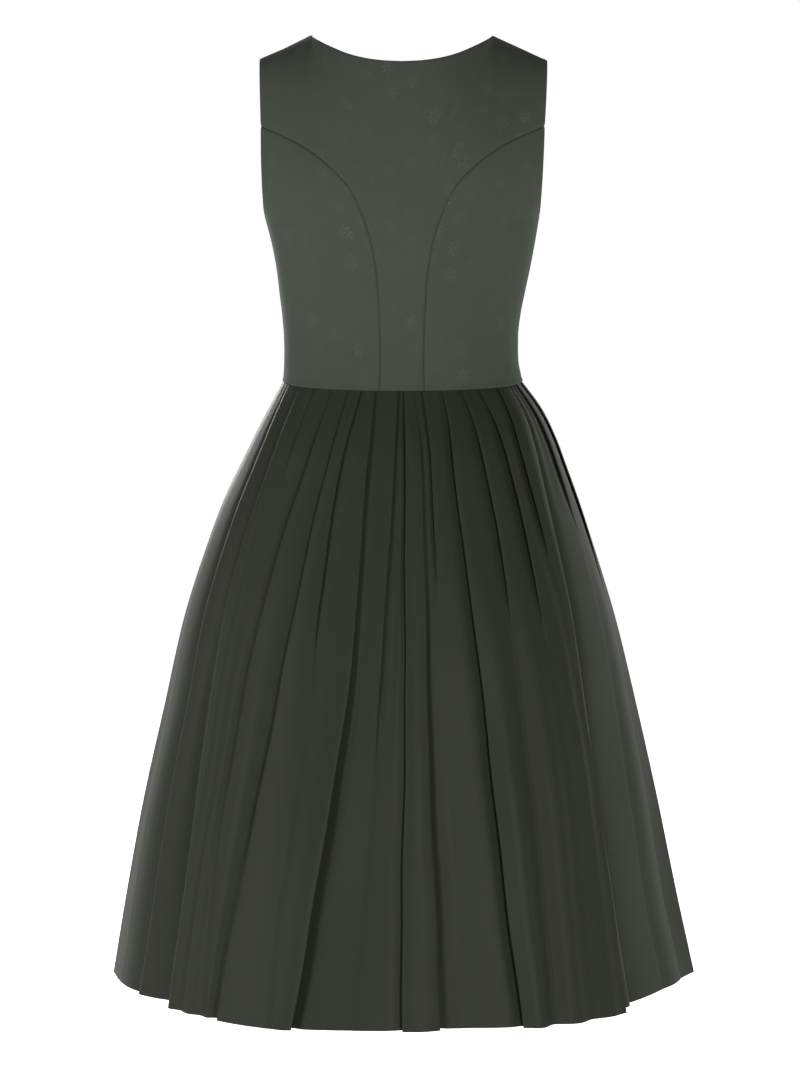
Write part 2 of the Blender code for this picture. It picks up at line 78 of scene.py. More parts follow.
# Outer half widths (to the armhole edge above the underarm) and half depths at each height.
BODICE_FORM = {
    "z": (-0.375, -0.355, -0.328, -0.300, -0.275, -0.247, -0.218,
          -0.188, -0.165, -0.130, -0.090, -0.045, 0.000),
    "left": (0.1326, 0.1316, 0.1316, 0.1335, 0.1366, 0.1400, 0.1457,
             0.1532, 0.1545, 0.1554, 0.1562, 0.1572, 0.1580),
    "right": (0.1340, 0.1300, 0.1293, 0.1322, 0.1368, 0.1424, 0.1480,
              0.1528, 0.1540, 0.1556, 0.1575, 0.1595, 0.1612),
    "back": (0.0980, 0.0972, 0.0972, 0.0985, 0.1010, 0.1045, 0.1080,
             0.1105, 0.1118, 0.1120, 0.1120, 0.1120, 0.1120),
    "front": (0.0960, 0.0970, 0.0990, 0.1025, 0.1080, 0.1140, 0.1180,
              0.1190, 0.1180, 0.1150, 0.1120, 0.1100, 0.1100),
}
# Curved seams: distance from the centre at each height.
BACK_SEAM = {
    "z": (-0.375, -0.340, -0.310, -0.280, -0.2545, -0.225, -0.203, -0.183, -0.174, -0.153, -0.1355, -0.1226,
          -0.112, -0.1025, -0.0947, -0.0870),
    "x": (0.0247, 0.0240, 0.0245, 0.0258, 0.0273, 0.0310, 0.0358, 0.0423, 0.0457, 0.0555, 0.0690, 0.0836,
          0.0980, 0.1150, 0.1340, 0.1560),
}
FRONT_SEAM = {
    "z": (-0.375, -0.330, -0.290, -0.255, -0.225, -0.200, -0.175, -0.150, -0.128, -0.110, -0.098),
    "x": (0.0540, 0.0580, 0.0650, 0.0730, 0.0790, 0.0830, 0.0890, 0.1000, 0.1160, 0.1370, 0.1560),
}
BACK_NECKLINE = {
    "x": (0.0, 0.0235, 0.0450, 0.0614, 0.0786, 0.0946, 0.1000),
    "z": (-0.0121, -0.0111, -0.0083, -0.0043, 0.0018, 0.0080, 0.0102),
}

# ---- the form and the pleats of the skirt ----
SKIRT_FORM = {
    "drop": (0.000, 0.0315, 0.063, 0.0912, 0.134, 0.202, 0.265, 0.362, 0.4685, 0.576, 0.673),
    "left": (0.1312, 0.1480, 0.1640, 0.1778, 0.1982, 0.2240, 0.2436, 0.2656, 0.2898, 0.3098, 0.3260),
    "right": (0.1326, 0.1555, 0.1712, 0.1818, 0.1972, 0.2196, 0.2386, 0.2624, 0.2866, 0.3088, 0.3302),
    "back": (0.0966, 0.1150, 0.1310, 0.1425, 0.1590, 0.1840, 0.2040, 0.2290, 0.2540, 0.2770, 0.2970),
    "front": (0.0946, 0.1150, 0.1320, 0.1440, 0.1610, 0.1850, 0.2040, 0.2280, 0.2520, 0.2740, 0.2930),
}
# A row per pleat from the left side over the centre back. Angles in degrees at four drops; turn +1 folds
# the edge over the cloth on its left, -1 over its right; seam and full: height of the fold in mm at the
# waist seam and below it; fades: drop where it has opened (0: never); hem_left, hem_right: levels in mm
# beside it at the hem; tuck: how far the cloth runs under the edge there; belly: how far the cloth right
# of it stands out lower down; roll: radius of the folded edge in mm.
PLEAT_COLUMNS = ("name", "turn", "at_000", "at_070", "at_280", "at_673", "seam", "full", "fades",
                 "hem_left", "hem_right", "tuck", "belly", "roll")
BACK_PLEATS = (
    ("side_left", 1, -83.0, -82.5, -81.0, -80.0, 2.6, 4.0, 0.30, -6, -6, 0, 2, 2.0),
    ("outer_left", 1, -72.5, -67.2, -65.6, -67.0, 2.6, 7.0, 0.0, -13, -6, 9, 2, 1.4),
    ("panel_left", 1, -59.0, -56.3, -55.5, -54.2, 2.6, 8.5, 0.0, -26, -6, 16, 6, 1.3),
    ("short_left", 1, -46.5, -47.0, -48.5, -48.0, 2.6, 3.2, 0.10, 0, 0, 0, 4, 1.4),
    ("rolled_left", 1, -36.0, -37.0, -41.4, -42.3, 2.6, 6.5, 0.66, 3, 3, 0, 5, 2.6),
    ("long_left", 1, -26.5, -28.0, -30.4, -37.0, 2.6, 6.0, 0.0, 3, 13, -4, 0, 1.8),
    ("soft_left", -1, -19.6, -22.6, -22.0, -25.0, 2.6, 3.6, 0.34, 23, 23, 0, 0, 2.2),
    ("panel_inner_left", -1, -12.8, -12.3, -12.4, -20.4, 2.6, 5.0, 0.0, 23, 11, 5, 1, 1.2),
    ("centre_left", -1, -1.6, -2.7, -4.8, -9.0, 2.6, 3.6, 0.46, 4, 4, 0, 0, 1.4),
    ("centre_right", 1, 0.8, 1.1, 0.7, -0.2, 2.6, 6.0, 0.0, -1, 7, 12, 1, 1.2),
    ("centre_panel_edge", -1, 5.4, 7.0, 6.4, 7.2, 0.0, 3.0, 0.0, 6, -6, 9, 0, 1.2),
    ("short_right", 1, 9.4, 10.0, 9.6, 12.0, 2.6, 4.2, 0.25, -2, -2, 0, 2, 1.3),
    ("panel_inner_right", 1, 19.2, 18.4, 19.5, 22.4, 2.6, 7.0, 0.0, 4, 13, 13, 10, 1.3),
    ("second_right", 1, 29.2, 30.2, 30.5, 29.5, 2.6, 7.5, 0.28, 8, 8, 0, 10, 1.5),
    ("third_right", 1, 39.2, 40.4, 41.0, 38.0, 2.6, 7.5, 0.29, 8, 8, 0, 3, 1.5),
    ("panel_right", 1, 51.5, 48.4, 49.7, 46.5, 2.6, 6.0, 0.22, 10, -9, -4, 0, 1.4),
    ("strip_right", -1, 63.0, 57.6, 53.2, 52.4, 2.6, 5.5, 0.0, -9, -21, 6, 0, 1.3),
    ("outer_right", 1, 72.0, 71.0, 71.0, 70.0, 2.6, 4.0, 0.17, -23, -23, 0, 0, 1.6),
    ("side_right", 1, 83.0, 82.5, 82.0, 82.0, 2.6, 3.6, 0.25, -15, -15, 0, 0, 2.0),
)
# The front is pleated in the same way: each row turned half round, moved by degrees and made deeper or flatter.
FRONT_SHIFT = (0.0, 1.2, -0.8, 0.6, -1.0, 0.9, 0.4, -0.7, -0.3, 0.3,
               0.5, -0.6, 1.0, -0.9, 0.8, -0.7, 0.9, 0.5, 0.0)
FRONT_DEPTH = (1.0, 0.9, 1.05, 1.2, 0.9, 0.85, 1.1, 0.95, 0.9, 0.95,
               1.1, 0.9, 0.9, 1.05, 0.9, 1.1, 0.9, 1.1, 1.0)
PLEAT_DROPS = {"at_000": 0.0, "at_070": 0.07, "at_280": 0.28, "at_673": 0.673}
FULL_AT = 0.06              # drop from which a fold has its full height
HEM_COMES_IN = (0.14, 0.60)  # drops between which the levels at the hem come in
FLATTENS = 0.7              # share of its height that a fold loses towards the hem
TUCK_SEAM, TUCK_GAIN = 2.5, 6.5  # cloth under an edge at the waist, and what it gains below, in mm
SHOULDER_R, LIP_R, VALLEY_R, CREST_R, BELLY_R = 9.0, 3.0, 0.8, 8.0, 60.0  # radii round a fold, in mm
FOLD_R = 4.0                # corners under this radius are folds, which open towards the hem
WAIST_ROWS = (0.0, 0.0022, 0.0045, 0.008)  # drops of the close rows at the waist seam
HEM_ROWS_MM = (3.5, 2.0, 1.0, 0.4)  # and of those above the hem's edge
HEM_WALL, ONE_LAYER = 1.25, 0.52  # wall of the doubled hem to the cloth's, and the single cloth's share of it

# Soft creases of the bodice: start and end (distance from the centre, height), width and height in mm.
CREASE_COLUMNS = ("face", "x0", "z0", "x1", "z1", "width", "height")
CREASES = (
    (BACK, -0.110, -0.330, -0.117, -0.368, 3.0, 1.2),
    (BACK, 0.112, -0.352, 0.128, -0.368, 4.0, 1.1),
    (BACK, -0.080, -0.360, -0.079, -0.372, 3.0, 0.7),
    (BACK, 0.040, -0.345, 0.075, -0.340, 9.0, -0.9),
    (BACK, -0.045, -0.325, -0.090, -0.318, 11.0, -0.9),
    (BACK, -0.128, -0.205, -0.095, -0.178, 9.0, 1.0),
    (BACK, 0.126, -0.210, 0.090, -0.186, 9.0, 0.9),
    (BACK, -0.120, -0.060, -0.095, -0.095, 10.0, -0.6),
    (BACK, 0.122, -0.055, 0.098, -0.092, 10.0, -0.6),
    (FRONT, -0.112, -0.335, -0.120, -0.367, 4.0, 1.1),
    (FRONT, 0.108, -0.340, 0.122, -0.366, 4.0, 1.0),
    (FRONT, -0.132, -0.215, -0.105, -0.200, 7.0, 0.7),
    (FRONT, 0.130, -0.220, 0.104, -0.202, 7.0, 0.7),
    (FRONT, -0.030, -0.330, -0.070, -0.322, 9.0, -0.5),
    (FRONT, 0.028, -0.345, 0.066, -0.338, 9.0, -0.5),
)


# ---- helpers ----
class Curve:
    """Smooth curve through a table's rows that doesn't overshoot them."""

    def __init__(self, xs, ys):
        self.x = np.asarray(xs, float)
        self.y = np.asarray(ys, float)
        slope = np.diff(self.y) / np.diff(self.x)
        self.m = np.empty_like(self.y)
        self.m[0], self.m[-1] = slope[0], slope[-1]
        self.m[1:-1] = np.where(slope[:-1] * slope[1:] > 0, 0.5 * (slope[:-1] + slope[1:]), 0.0)

    def __call__(self, x):
        x = np.clip(x, self.x[0], self.x[-1])
        i = np.clip(np.searchsorted(self.x, x) - 1, 0, len(self.x) - 2)
        step = self.x[i + 1] - self.x[i]
        f = (x - self.x[i]) / step
        return ((2 * f**3 - 3 * f**2 + 1) * self.y[i] + (f**3 - 2 * f**2 + f) * step * self.m[i]
                + (3 * f**2 - 2 * f**3) * self.y[i + 1] + (f**3 - f**2) * step * self.m[i + 1])


def ramp(x, start, end):
    f = np.clip((x - start) / (end - start), 0.0, 1.0)
    return f * f * (3 - 2 * f)


def from_hex(text):
    """Linear colour of an sRGB hex value."""
    parts = [int(text[i:i + 2], 16) / 255 for i in (1, 3, 5)]
    return tuple(c / 12.92 if c <= 0.04045 else ((c + 0.055) / 1.055) ** 2.4 for c in parts)


def bisect(low, high, too_low, rounds=34):
    """Solve for many values at once: too_low(x) says where x has to rise."""
    low, high = np.array(low, float), np.array(high, float)
    for _ in range(rounds):
        mid = 0.5 * (low + high)
        rise = too_low(mid)
        low, high = np.where(rise, mid, low), np.where(rise, high, mid)
    return 0.5 * (low + high)


# ---- bodice form ----
FORM = {key: Curve(BODICE_FORM["z"], BODICE_FORM[key]) for key in ("left", "right", "back", "front")}
SEAMS = {BACK: Curve(BACK_SEAM["z"], BACK_SEAM["x"]), FRONT: Curve(FRONT_SEAM["z"], FRONT_SEAM["x"])}
SEAM_TOP = {BACK: BACK_SEAM["z"][-1], FRONT: FRONT_SEAM["z"][-1]}
NECKLINE = Curve(BACK_NECKLINE["x"], BACK_NECKLINE["z"])
UNDERARM_V = BODICE_SPLIT * (UNDERARM_Z - WAIST_Z) / (BLADE_Z - WAIST_Z)


def armhole_turn(v):
    rise = np.clip((v - UNDERARM_V) / (ARMHOLE_TOP_V - UNDERARM_V), 0.0, 1.0)
    return np.radians(90.0 - (90.0 - ARMHOLE_TURN) * np.sqrt(1.0 - (1.0 - rise) ** 2))


def ridge_height(x):
    x = np.abs(x)
    outside = NECK_POINT_Z + (TIP_Z - NECK_POINT_Z) * (x - NECK_X) / (TIP_X - NECK_X)
    inside = NECK_POINT_Z + NECK_ARCH * np.clip(1.0 - (x / NECK_X) ** 2, 0.0, 1.0) ** 1.2
    return np.where(x >= NECK_X, outside, inside)


def nominal_height(v):
    over = np.clip((v - BODICE_SPLIT) / (1.0 - BODICE_SPLIT), 0.0, 1.0) * math.pi / 2
    below = WAIST_Z + v / BODICE_SPLIT * (BLADE_Z - WAIST_Z)
    return np.where(v <= BODICE_SPLIT, below, BLADE_Z * (1.0 - np.sin(over)))


def bodice_reach(t, v):
    z = nominal_height(v)
    return np.where(t < 0, FORM["left"](z), FORM["right"](z)) / np.sin(armhole_turn(v))


def bodice_point(face, t, v):
    """Points of the bodice form: t round from the centre, v from the waist to the shoulder line."""
    t, v = np.broadcast_arrays(np.asarray(t, float), np.asarray(v, float))
    z = nominal_height(v)
    x = bodice_reach(t, v) * np.sin(t)
    y = FORM["back" if face < 0 else "front"](z) * np.clip(np.cos(t), 0.0, 1.0) ** ROUNDING
    if face > 0:
        lift = np.exp(-((np.abs(x) - BUST_X) / BUST_SPREAD[0]) ** 2 - ((z - BUST_Z) / BUST_SPREAD[1]) ** 2)
        y = y + BUST_LIFT * lift * (1.0 - np.sin(t) ** 6)
    over = np.clip((v - BODICE_SPLIT) / (1.0 - BODICE_SPLIT), 0.0, 1.0) * math.pi / 2
    top = BLADE_Z + (ridge_height(x) - BLADE_Z) * np.sin(over)
    z = np.where(v > BODICE_SPLIT, top, z)
    y = np.where(v > BODICE_SPLIT, y * np.cos(over), y)
    return np.stack([x, face * y, z], -1)


def bodice_normal(face, t, v):
    d, limit = 0.002, math.pi / 2
    v = np.minimum(v, 0.9995)
    across = bodice_point(face, np.minimum(t + d, limit), v) - bodice_point(face, np.maximum(t - d, -limit), v)
    upward = bodice_point(face, t, np.minimum(v + d, 0.9995)) - bodice_point(face, t, np.maximum(v - d, 0.0))
    normal = np.cross(across, upward) * -face
    normal[..., 2] = np.where(v < 1e-6, 0.0, normal[..., 2])
    normal[..., 1] = np.where(np.abs(t) > limit - 1e-6, 0.0, normal[..., 1])
    return normal / np.linalg.norm(normal, axis=-1, keepdims=True)


def trace_seam(face, sign):
    """Angles, without their sign, of the curved seam at many levels, and the level where it meets the armhole."""
    v = np.linspace(0.0, 1.0, 801)
    edge = armhole_turn(v)
    t = edge * 0.5
    for _ in range(40):
        z = bodice_point(face, sign * t, v)[..., 2]
        want = np.arcsin(np.clip(SEAMS[face](z) / bodice_reach(np.full_like(t, sign), v), -1.0, 1.0))
        t = 0.5 * (t + np.minimum(want, edge))
    z = bodice_point(face, sign * t, v)[..., 2]
    inside = (z < SEAM_TOP[face] - 1e-4) & (t < edge - 1e-4)
    last = int(np.argmin(inside))
    gap = (edge - t)[last - 2:last]
    end = v[last - 1] + (v[1] - v[0]) * gap[1] / max(gap[0] - gap[1], 1e-6)
    end = min(end, v[last])
    return np.append(v[:last], end), np.append(t[:last], armhole_turn(end))


SEAM_LINES = {(face, sign): trace_seam(face, sign) for face in (BACK, FRONT) for sign in (-1, 1)}


def seam_end(face, sign):
    return float(SEAM_LINES[face, sign][0][-1])


def seam_turn(face, v, sign):
    """Angle, without its sign, of the curved seam at each level, or of the armhole edge above its end."""
    levels, turns = SEAM_LINES[face, sign]
    return np.where(v < levels[-1], np.interp(v, levels, turns), armhole_turn(v))


def per_turn(face, t, v):
    """Length along the cloth for one radian of t."""
    d = 1e-3
    inward = np.where(t > 0, t - d, t + d)
    return np.linalg.norm(bodice_point(face, inward, v) - bodice_point(face, t, v), axis=-1) / d


def per_level(face, t, v):
    """Length along the cloth for the whole of v, at its rate there."""
    d = 2e-3
    step = bodice_point(face, t, np.maximum(v - d, 0.0)) - bodice_point(face, t, np.maximum(v, d))
    return np.linalg.norm(step, axis=-1) / d


# Distances in mm from a border at which the cloth gets a line of points of its own.
BORDER_MM = (0.0, 0.35, 0.8, 1.4, 2.4, 4.0, 6.5)
# Edges in mm: width and depth of the turn, then height, place and width of the swell beside it.
EDGES = {"turned": (1.3, 1.1, 0.22, 3.6, 2.6), "waist": (1.6, 1.5, 0.8, 2.0, 1.8)}
SEAM_DEPTH, SEAM_WIDTH, SEAM_DIP, SEAM_DIP_WIDTH = 1.25, 1.0, 0.25, 4.0  # mm
PUCKER, PUCKER_REACH = 0.16, 0.007  # puckering along the seams in mm, and how far it reaches in m
UNEVEN = 0.45               # slow unevenness of the cloth in mm
# Shoulder blades and the hollow between them: mm out, distance from the centre, height, width, tallness.
BACK_FORMS = ((3.2, 0.082, -0.135, 0.042, 0.048), (-2.2, 0.0, -0.070, 0.050, 0.045))


def border_profile(kind, d):
    """How far the cloth turns inward, in m, at the distance d from a border."""
    d = d / MM
    if kind == "seam":
        return MM * (SEAM_DEPTH * np.exp(-(d / SEAM_WIDTH) ** 2) + SEAM_DIP * np.exp(-d / SEAM_DIP_WIDTH))
    width, depth, swell, swell_at, swell_width = EDGES[kind]
    near = np.clip(1.0 - d / width, 0.0, 1.0)
    return MM * (depth * (1.0 - np.sqrt(1.0 - near**2)) - swell * np.exp(-((d - swell_at) / swell_width) ** 2))


def along(points, axis):
    """Length along a grid of points from its first row or column."""
    steps = np.linalg.norm(np.diff(points, axis=axis), axis=-1)
    zero = np.zeros_like(np.take(steps, [0], axis=axis))
    return np.concatenate([zero, np.cumsum(steps, axis=axis)], axis=axis)


def border_distance(points, line, mask):
    """Shortest distance of every point to the masked stretches of a border line, and the run along it."""
    near = np.full(points.shape[:2], 1.0)
    run_at = np.zeros(points.shape[:2])
    run = 0.0
    for a, b, on in zip(line[:-1], line[1:], mask[:-1] & mask[1:]):
        length = float(np.linalg.norm(b - a))
        if on and length > 1e-7:
            f = np.clip(((points - a) @ (b - a)) / length**2, 0.0, 1.0)
            d = np.linalg.norm(points - (a + f[..., None] * (b - a)), axis=-1)
            run_at = np.where(d < near, run + f * length, run_at)
            near = np.minimum(near, d)
        run += length
    return near, run_at


def bodice_relief(face, points, borders):
    """Inward push of each point: turned edges, seams, soft creases and a slight unevenness."""
    lines = {"left": points[:, 0], "right": points[:, -1], "bottom": points[0], "top": points[-1]}
    push = np.zeros(points.shape[:2])
    for kind in ("seam", "turned", "waist"):
        near = np.full(push.shape, 1.0)
        for side, line in lines.items():
            mask = borders[side] == kind
            if mask.any():
                distance, run = border_distance(points, line, mask)
                near = np.minimum(near, distance)
                if kind == "seam":
                    wave = np.sin(run / 0.0085 + 1.7 * np.sin(run / 0.031)) * np.sin(run / 0.047 + 0.6)
                    push = push - PUCKER * MM * wave * np.exp(-distance / PUCKER_REACH)
        push = push + border_profile(kind, near)
    x, z = points[..., 0], points[..., 2]
    relief = UNEVEN * MM * np.sin(x / 0.026 + z / 0.041 + face) * np.sin(z / 0.033 - x / 0.060 + 2.1)
    if face == BACK:
        relief = relief + MM * sum(out * np.exp(-((np.abs(x) - off) / wide) ** 2 - ((z - up) / tall) ** 2)
                                   for out, off, up, wide, tall in BACK_FORMS)
    for row in CREASES:
        crease = dict(zip(CREASE_COLUMNS, row))
        if crease["face"] != face:
            continue
        dx, dz = crease["x1"] - crease["x0"], crease["z1"] - crease["z0"]
        length = math.hypot(dx, dz)
        s = ((x - crease["x0"]) * dx + (z - crease["z0"]) * dz) / length
        off = ((x - crease["x0"]) * dz - (z - crease["z0"]) * dx) / length
        fade = ramp(s, -0.25 * length, 0.25 * length) * (1.0 - ramp(s, 0.75 * length, 1.25 * length))
        relief = relief + MM * crease["height"] * fade * np.exp(-(off / (MM * crease["width"])) ** 2)
    return push - relief


def add_object(name, data):
    thing = bpy.data.objects.new(name, data)
    bpy.context.scene.collection.objects.link(thing)
    return thing


def cloth_from_grid(name, points, flat, thickness, weight=None):
    """A flat grid of cloth laid on its points, with the cut's own UV map in metres, then given its wall."""
    rows, cols = points.shape[:2]
    work = bmesh.new()
    bmesh.ops.create_grid(work, x_segments=cols - 1, y_segments=rows - 1, size=0.5)
    layer = work.loops.layers.uv.new("cloth")
    places = []
    for vert in work.verts:
        c = int(round((vert.co.x + 0.5) * (cols - 1)))
        r = int(round((vert.co.y + 0.5) * (rows - 1)))
        places.append((r, c))
        vert.co = points[r, c]
    work.verts.index_update()
    for face in work.faces:
        face.smooth = True
        for loop in face.loops:
            loop[layer].uv = flat[places[loop.vert.index]]
    for edge in work.edges:
        if edge.is_boundary:
            edge.smooth = False
    work.normal_update()
    middle = min(work.faces, key=lambda f: abs(f.calc_center_median().z - points[..., 2].mean()))
    centre = middle.calc_center_median()
    if middle.normal.dot(Vector((centre.x, centre.y, 0.0))) < 0:
        bmesh.ops.reverse_faces(work, faces=work.faces)
    mesh = bpy.data.meshes.new(name)
    work.to_mesh(mesh)
    work.free()
    piece = add_object(name, mesh)
    if weight is not None:
        group = piece.vertex_groups.new(name="layers")
        for i, place in enumerate(places):
            group.add([i], float(weight[place]), "REPLACE")
    wall = piece.modifiers.new("wall", "SOLIDIFY")
    wall.thickness = thickness
    wall.offset = -1.0
    if weight is not None:
        wall.vertex_group = "layers"
    return piece


def flat_sizes(points):
    """Places of a grid's points in its flat cut: across from the middle column, up along it."""
    across, up = along(points, 1), along(points, 0)
    middle = points.shape[1] // 2
    across = across - across[:, middle:middle + 1]
    return np.stack([across, np.repeat(up[:, middle:middle + 1], points.shape[1], axis=1)], -1)


def lay_levels(face, sign, share, tops, turn_at, rows):
    """Levels of each column from the waist to its top, close together at both borders."""
    near = np.array(BORDER_MM) * MM
    low = near / (per_level(face, sign * 0.3, np.array(0.01)) + 1e-9)
    top_turn = turn_at(tops, share)
    high = near[None, :] / per_level(face, top_turn, np.minimum(tops, 0.999))[:, None]
    start, stop = low[-1], tops - high[:, -1]
    inner = start + (stop[:, None] - start) * np.linspace(0, 1, rows + 2)[None, 1:-1]
    count = len(tops)
    return np.concatenate([np.repeat(low[None], count, 0), inner, tops[:, None] - high[:, ::-1]], 1).T


def neck_cut(face, x):
    """Height of the neckline at a distance from the centre."""
    if face == BACK:
        return NECKLINE(x)
    return FRONT_NECK_Z + (NECK_POINT_Z - FRONT_NECK_Z) * np.clip(x / NECK_X, 0.0, 1.0) ** SCOOP


def calm_turn(face, share, edge):
    """Angle at a share of the way to a centre panel's edge. The inner columns don't follow its sweep."""
    soft = math.radians(3.0)
    calm = -soft * np.log(np.exp(-edge / soft) + np.exp(-CALM_TURN[face] / soft))
    return calm * share + (edge - calm) * share**5


def centre_side(face, sign, gap, columns, rows, near_centre):
    """Half of a centre panel: turns, levels and the kind of its top border, from the centre outward."""
    end = seam_end(face, sign)
    near = np.array(BORDER_MM[1:]) * MM

    def edge_at(v):
        t = seam_turn(face, v, sign)
        return t - np.where(v < end, gap * GAP_SHARE / per_turn(face, sign * t, v), 0.0)

    def inner_edge(v):
        edge = edge_at(v)
        return edge - near[-1] / per_turn(face, sign * edge, v)

    # the top border, closely sampled: neckline to the neck point, then the shoulder seam
    x = NECK_X * (1.0 - (1.0 - np.linspace(0, 1, NECK_SAMPLES)) ** 2)

    def turn_of_x(v):
        return np.arcsin(np.clip(x / bodice_reach(np.full_like(x, sign), v), 0.0, 1.0))

    def below_neck(v):
        return bodice_point(face, sign * turn_of_x(v), v)[..., 2] < neck_cut(face, x)

    high = 1.0 - gap * 0.5 / per_level(face, sign * 0.6, np.array(0.998))
    level = np.minimum(bisect(np.full(NECK_SAMPLES, 0.3), np.ones(NECK_SAMPLES), below_neck), high)
    turn = turn_of_x(level)
    strap = np.linspace(turn[-1], float(inner_edge(np.array(high))), STRAP_SAMPLES)[1:]
    turn, level = np.concatenate([turn, strap]), np.concatenate([level, np.full(len(strap), high)])
    line = bodice_point(face, sign * turn, level)
    run = np.concatenate([[0.0], np.cumsum(np.linalg.norm(np.diff(line, axis=0), axis=-1))])
    across = max(8, int(columns * 0.55))
    neck_run = run[NECK_SAMPLES - 1]
    stops = np.concatenate([np.linspace(0, neck_run, columns + 1), np.linspace(neck_run, run[-1], across + 1)[1:]])
    top_turn, top_level = np.interp(stops, run, turn), np.interp(stops, run, level)
    kinds = np.where(stops <= neck_run + 1e-9, "turned", "seam")
    low_share = np.linspace(0, 1, len(stops))
    # the columns beside the neck point come up to it from the outside
    bow = 1.2 * np.concatenate([np.linspace(0, 1, columns + 1) ** 4, np.linspace(1, 0, across + 1)[1:] ** 1.5])
    centre = np.full(len(stops), -1.0)
    if near_centre:
        keep = np.minimum(top_turn, low_share * 0.5) * HALF_WIDTH > near[3] + 0.001
        top_level = np.concatenate([np.interp(near[:4] / HALF_WIDTH, top_turn, top_level), top_level[keep]])
        top_level = np.concatenate([np.interp([0.0], turn, level), top_level])
        top_turn, low_share, kinds, bow = (np.concatenate([np.repeat(q[:1], 5), q[keep]])
                                           for q in (top_turn, low_share, kinds, bow))
        centre = np.concatenate([[0.0], near[:4], np.full(int(keep.sum()), -1.0)])
    edge = inner_edge(top_level)
    top_share = bisect(np.zeros(len(edge)), np.ones(len(edge)),
                       lambda q: calm_turn(face, q, edge) < top_turn)
    extra = len(near)
    low_share, top_share = (np.concatenate([q, np.ones(extra)]) for q in (low_share, top_share))
    top_level = np.concatenate([top_level, np.full(extra, top_level[-1])])
    kinds, bow = np.concatenate([kinds, np.full(extra, "seam")]), np.concatenate([bow, np.zeros(extra)])
    centre = np.concatenate([centre, np.full(extra, -1.0)])
    inset = np.concatenate([np.full(len(top_level) - extra, near[-1]), near[:-1][::-1], [0.0]])

    def turn_at(v, share):
        edge = edge_at(v)
        close = edge - inset / per_turn(face, sign * edge, v)
        inner = calm_turn(face, share, edge - near[-1] / per_turn(face, sign * edge, v))
        middle = centre / per_turn(face, np.full_like(v, sign * 0.01), v)
        return sign * np.where(inset < near[-1], close, np.where(centre >= 0, middle, inner))

    # rows: close to the waist, even between, one at the end of the curved seam, close to the top
    low = near / per_level(face, 0.3, np.array(0.01))
    last = per_level(face, turn_at(np.minimum(top_level, 0.999), top_share), top_level)
    down = near[None, :] / last[:, None]
    full = 1.0 - down[-1, -1] - low[-1]
    stop = (end - low[-1]) / full
    first = int(rows * stop)
    even = np.concatenate([np.linspace(0, stop, first + 1)[1:],
                           np.linspace(stop, 1, rows - first + 1)[1:-1]])
    span = top_level - down[:, -1] - low[-1]
    levels = [np.zeros(len(top_level))] + [np.full(len(top_level), q) for q in low]
    levels += [low[-1] + full * w + (span - full) * w ** (2.0 if face == BACK else 1.5) for w in even]
    levels += [top_level - down[:, k] for k in range(len(near) - 1, -1, -1)] + [top_level]
    turns = []
    for v in levels:
        w = v / top_level
        share = low_share + (top_share - low_share) * ramp(w, 0.05, 1.0) + bow * w**8 * (1.0 - w)
        turns.append(turn_at(v, share))
    return np.stack(turns), np.stack(levels), kinds, end


def relax(grid, rounds=30, rim=6):
    """Evens out the inside of a grid, less and less towards the lines along its borders."""
    rows, cols = (np.minimum(np.arange(n), np.arange(n)[::-1]) for n in grid.shape)
    free = 0.6 * np.clip((np.minimum.outer(rows, cols) - rim) / 10.0, 0.0, 1.0)[1:-1, 1:-1]
    grid = grid.copy()
    for _ in range(rounds):
        around = 0.25 * (grid[2:, 1:-1] + grid[:-2, 1:-1] + grid[1:-1, 2:] + grid[1:-1, :-2])
        grid[1:-1, 1:-1] += free * (around - grid[1:-1, 1:-1])
    return grid


def centre_panel(face, signs, gap, columns, rows):
    """Grid of the centre back, or of one half of the centre front, up to its shoulders."""
    sides = []
    for sign in signs:
        turns, levels, kinds, end = centre_side(face, sign, gap, columns, rows, len(signs) == 1)
        if sign < 0:
            turns, levels, kinds = turns[:, ::-1], levels[:, ::-1], kinds[::-1]
        sides.append((turns, levels, kinds))
    turns, levels, kinds = sides[0]
    if len(sides) == 2:
        turns = np.concatenate([turns, sides[1][0][:, 1:]], 1)
        levels = np.concatenate([levels, sides[1][1][:, 1:]], 1)
        kinds = np.concatenate([kinds, sides[1][2][1:]])
    outer = [np.where(levels[:, k] < end - 1e-6, "seam", "turned") for k in (0, -1)]
    if len(signs) == 1:
        outer[1 if signs[0] < 0 else 0][:] = "turned"
    borders = {"left": outer[0], "right": outer[1], "bottom": np.full(turns.shape[1], "waist"), "top": kinds}
    return relax(turns), relax(levels), borders


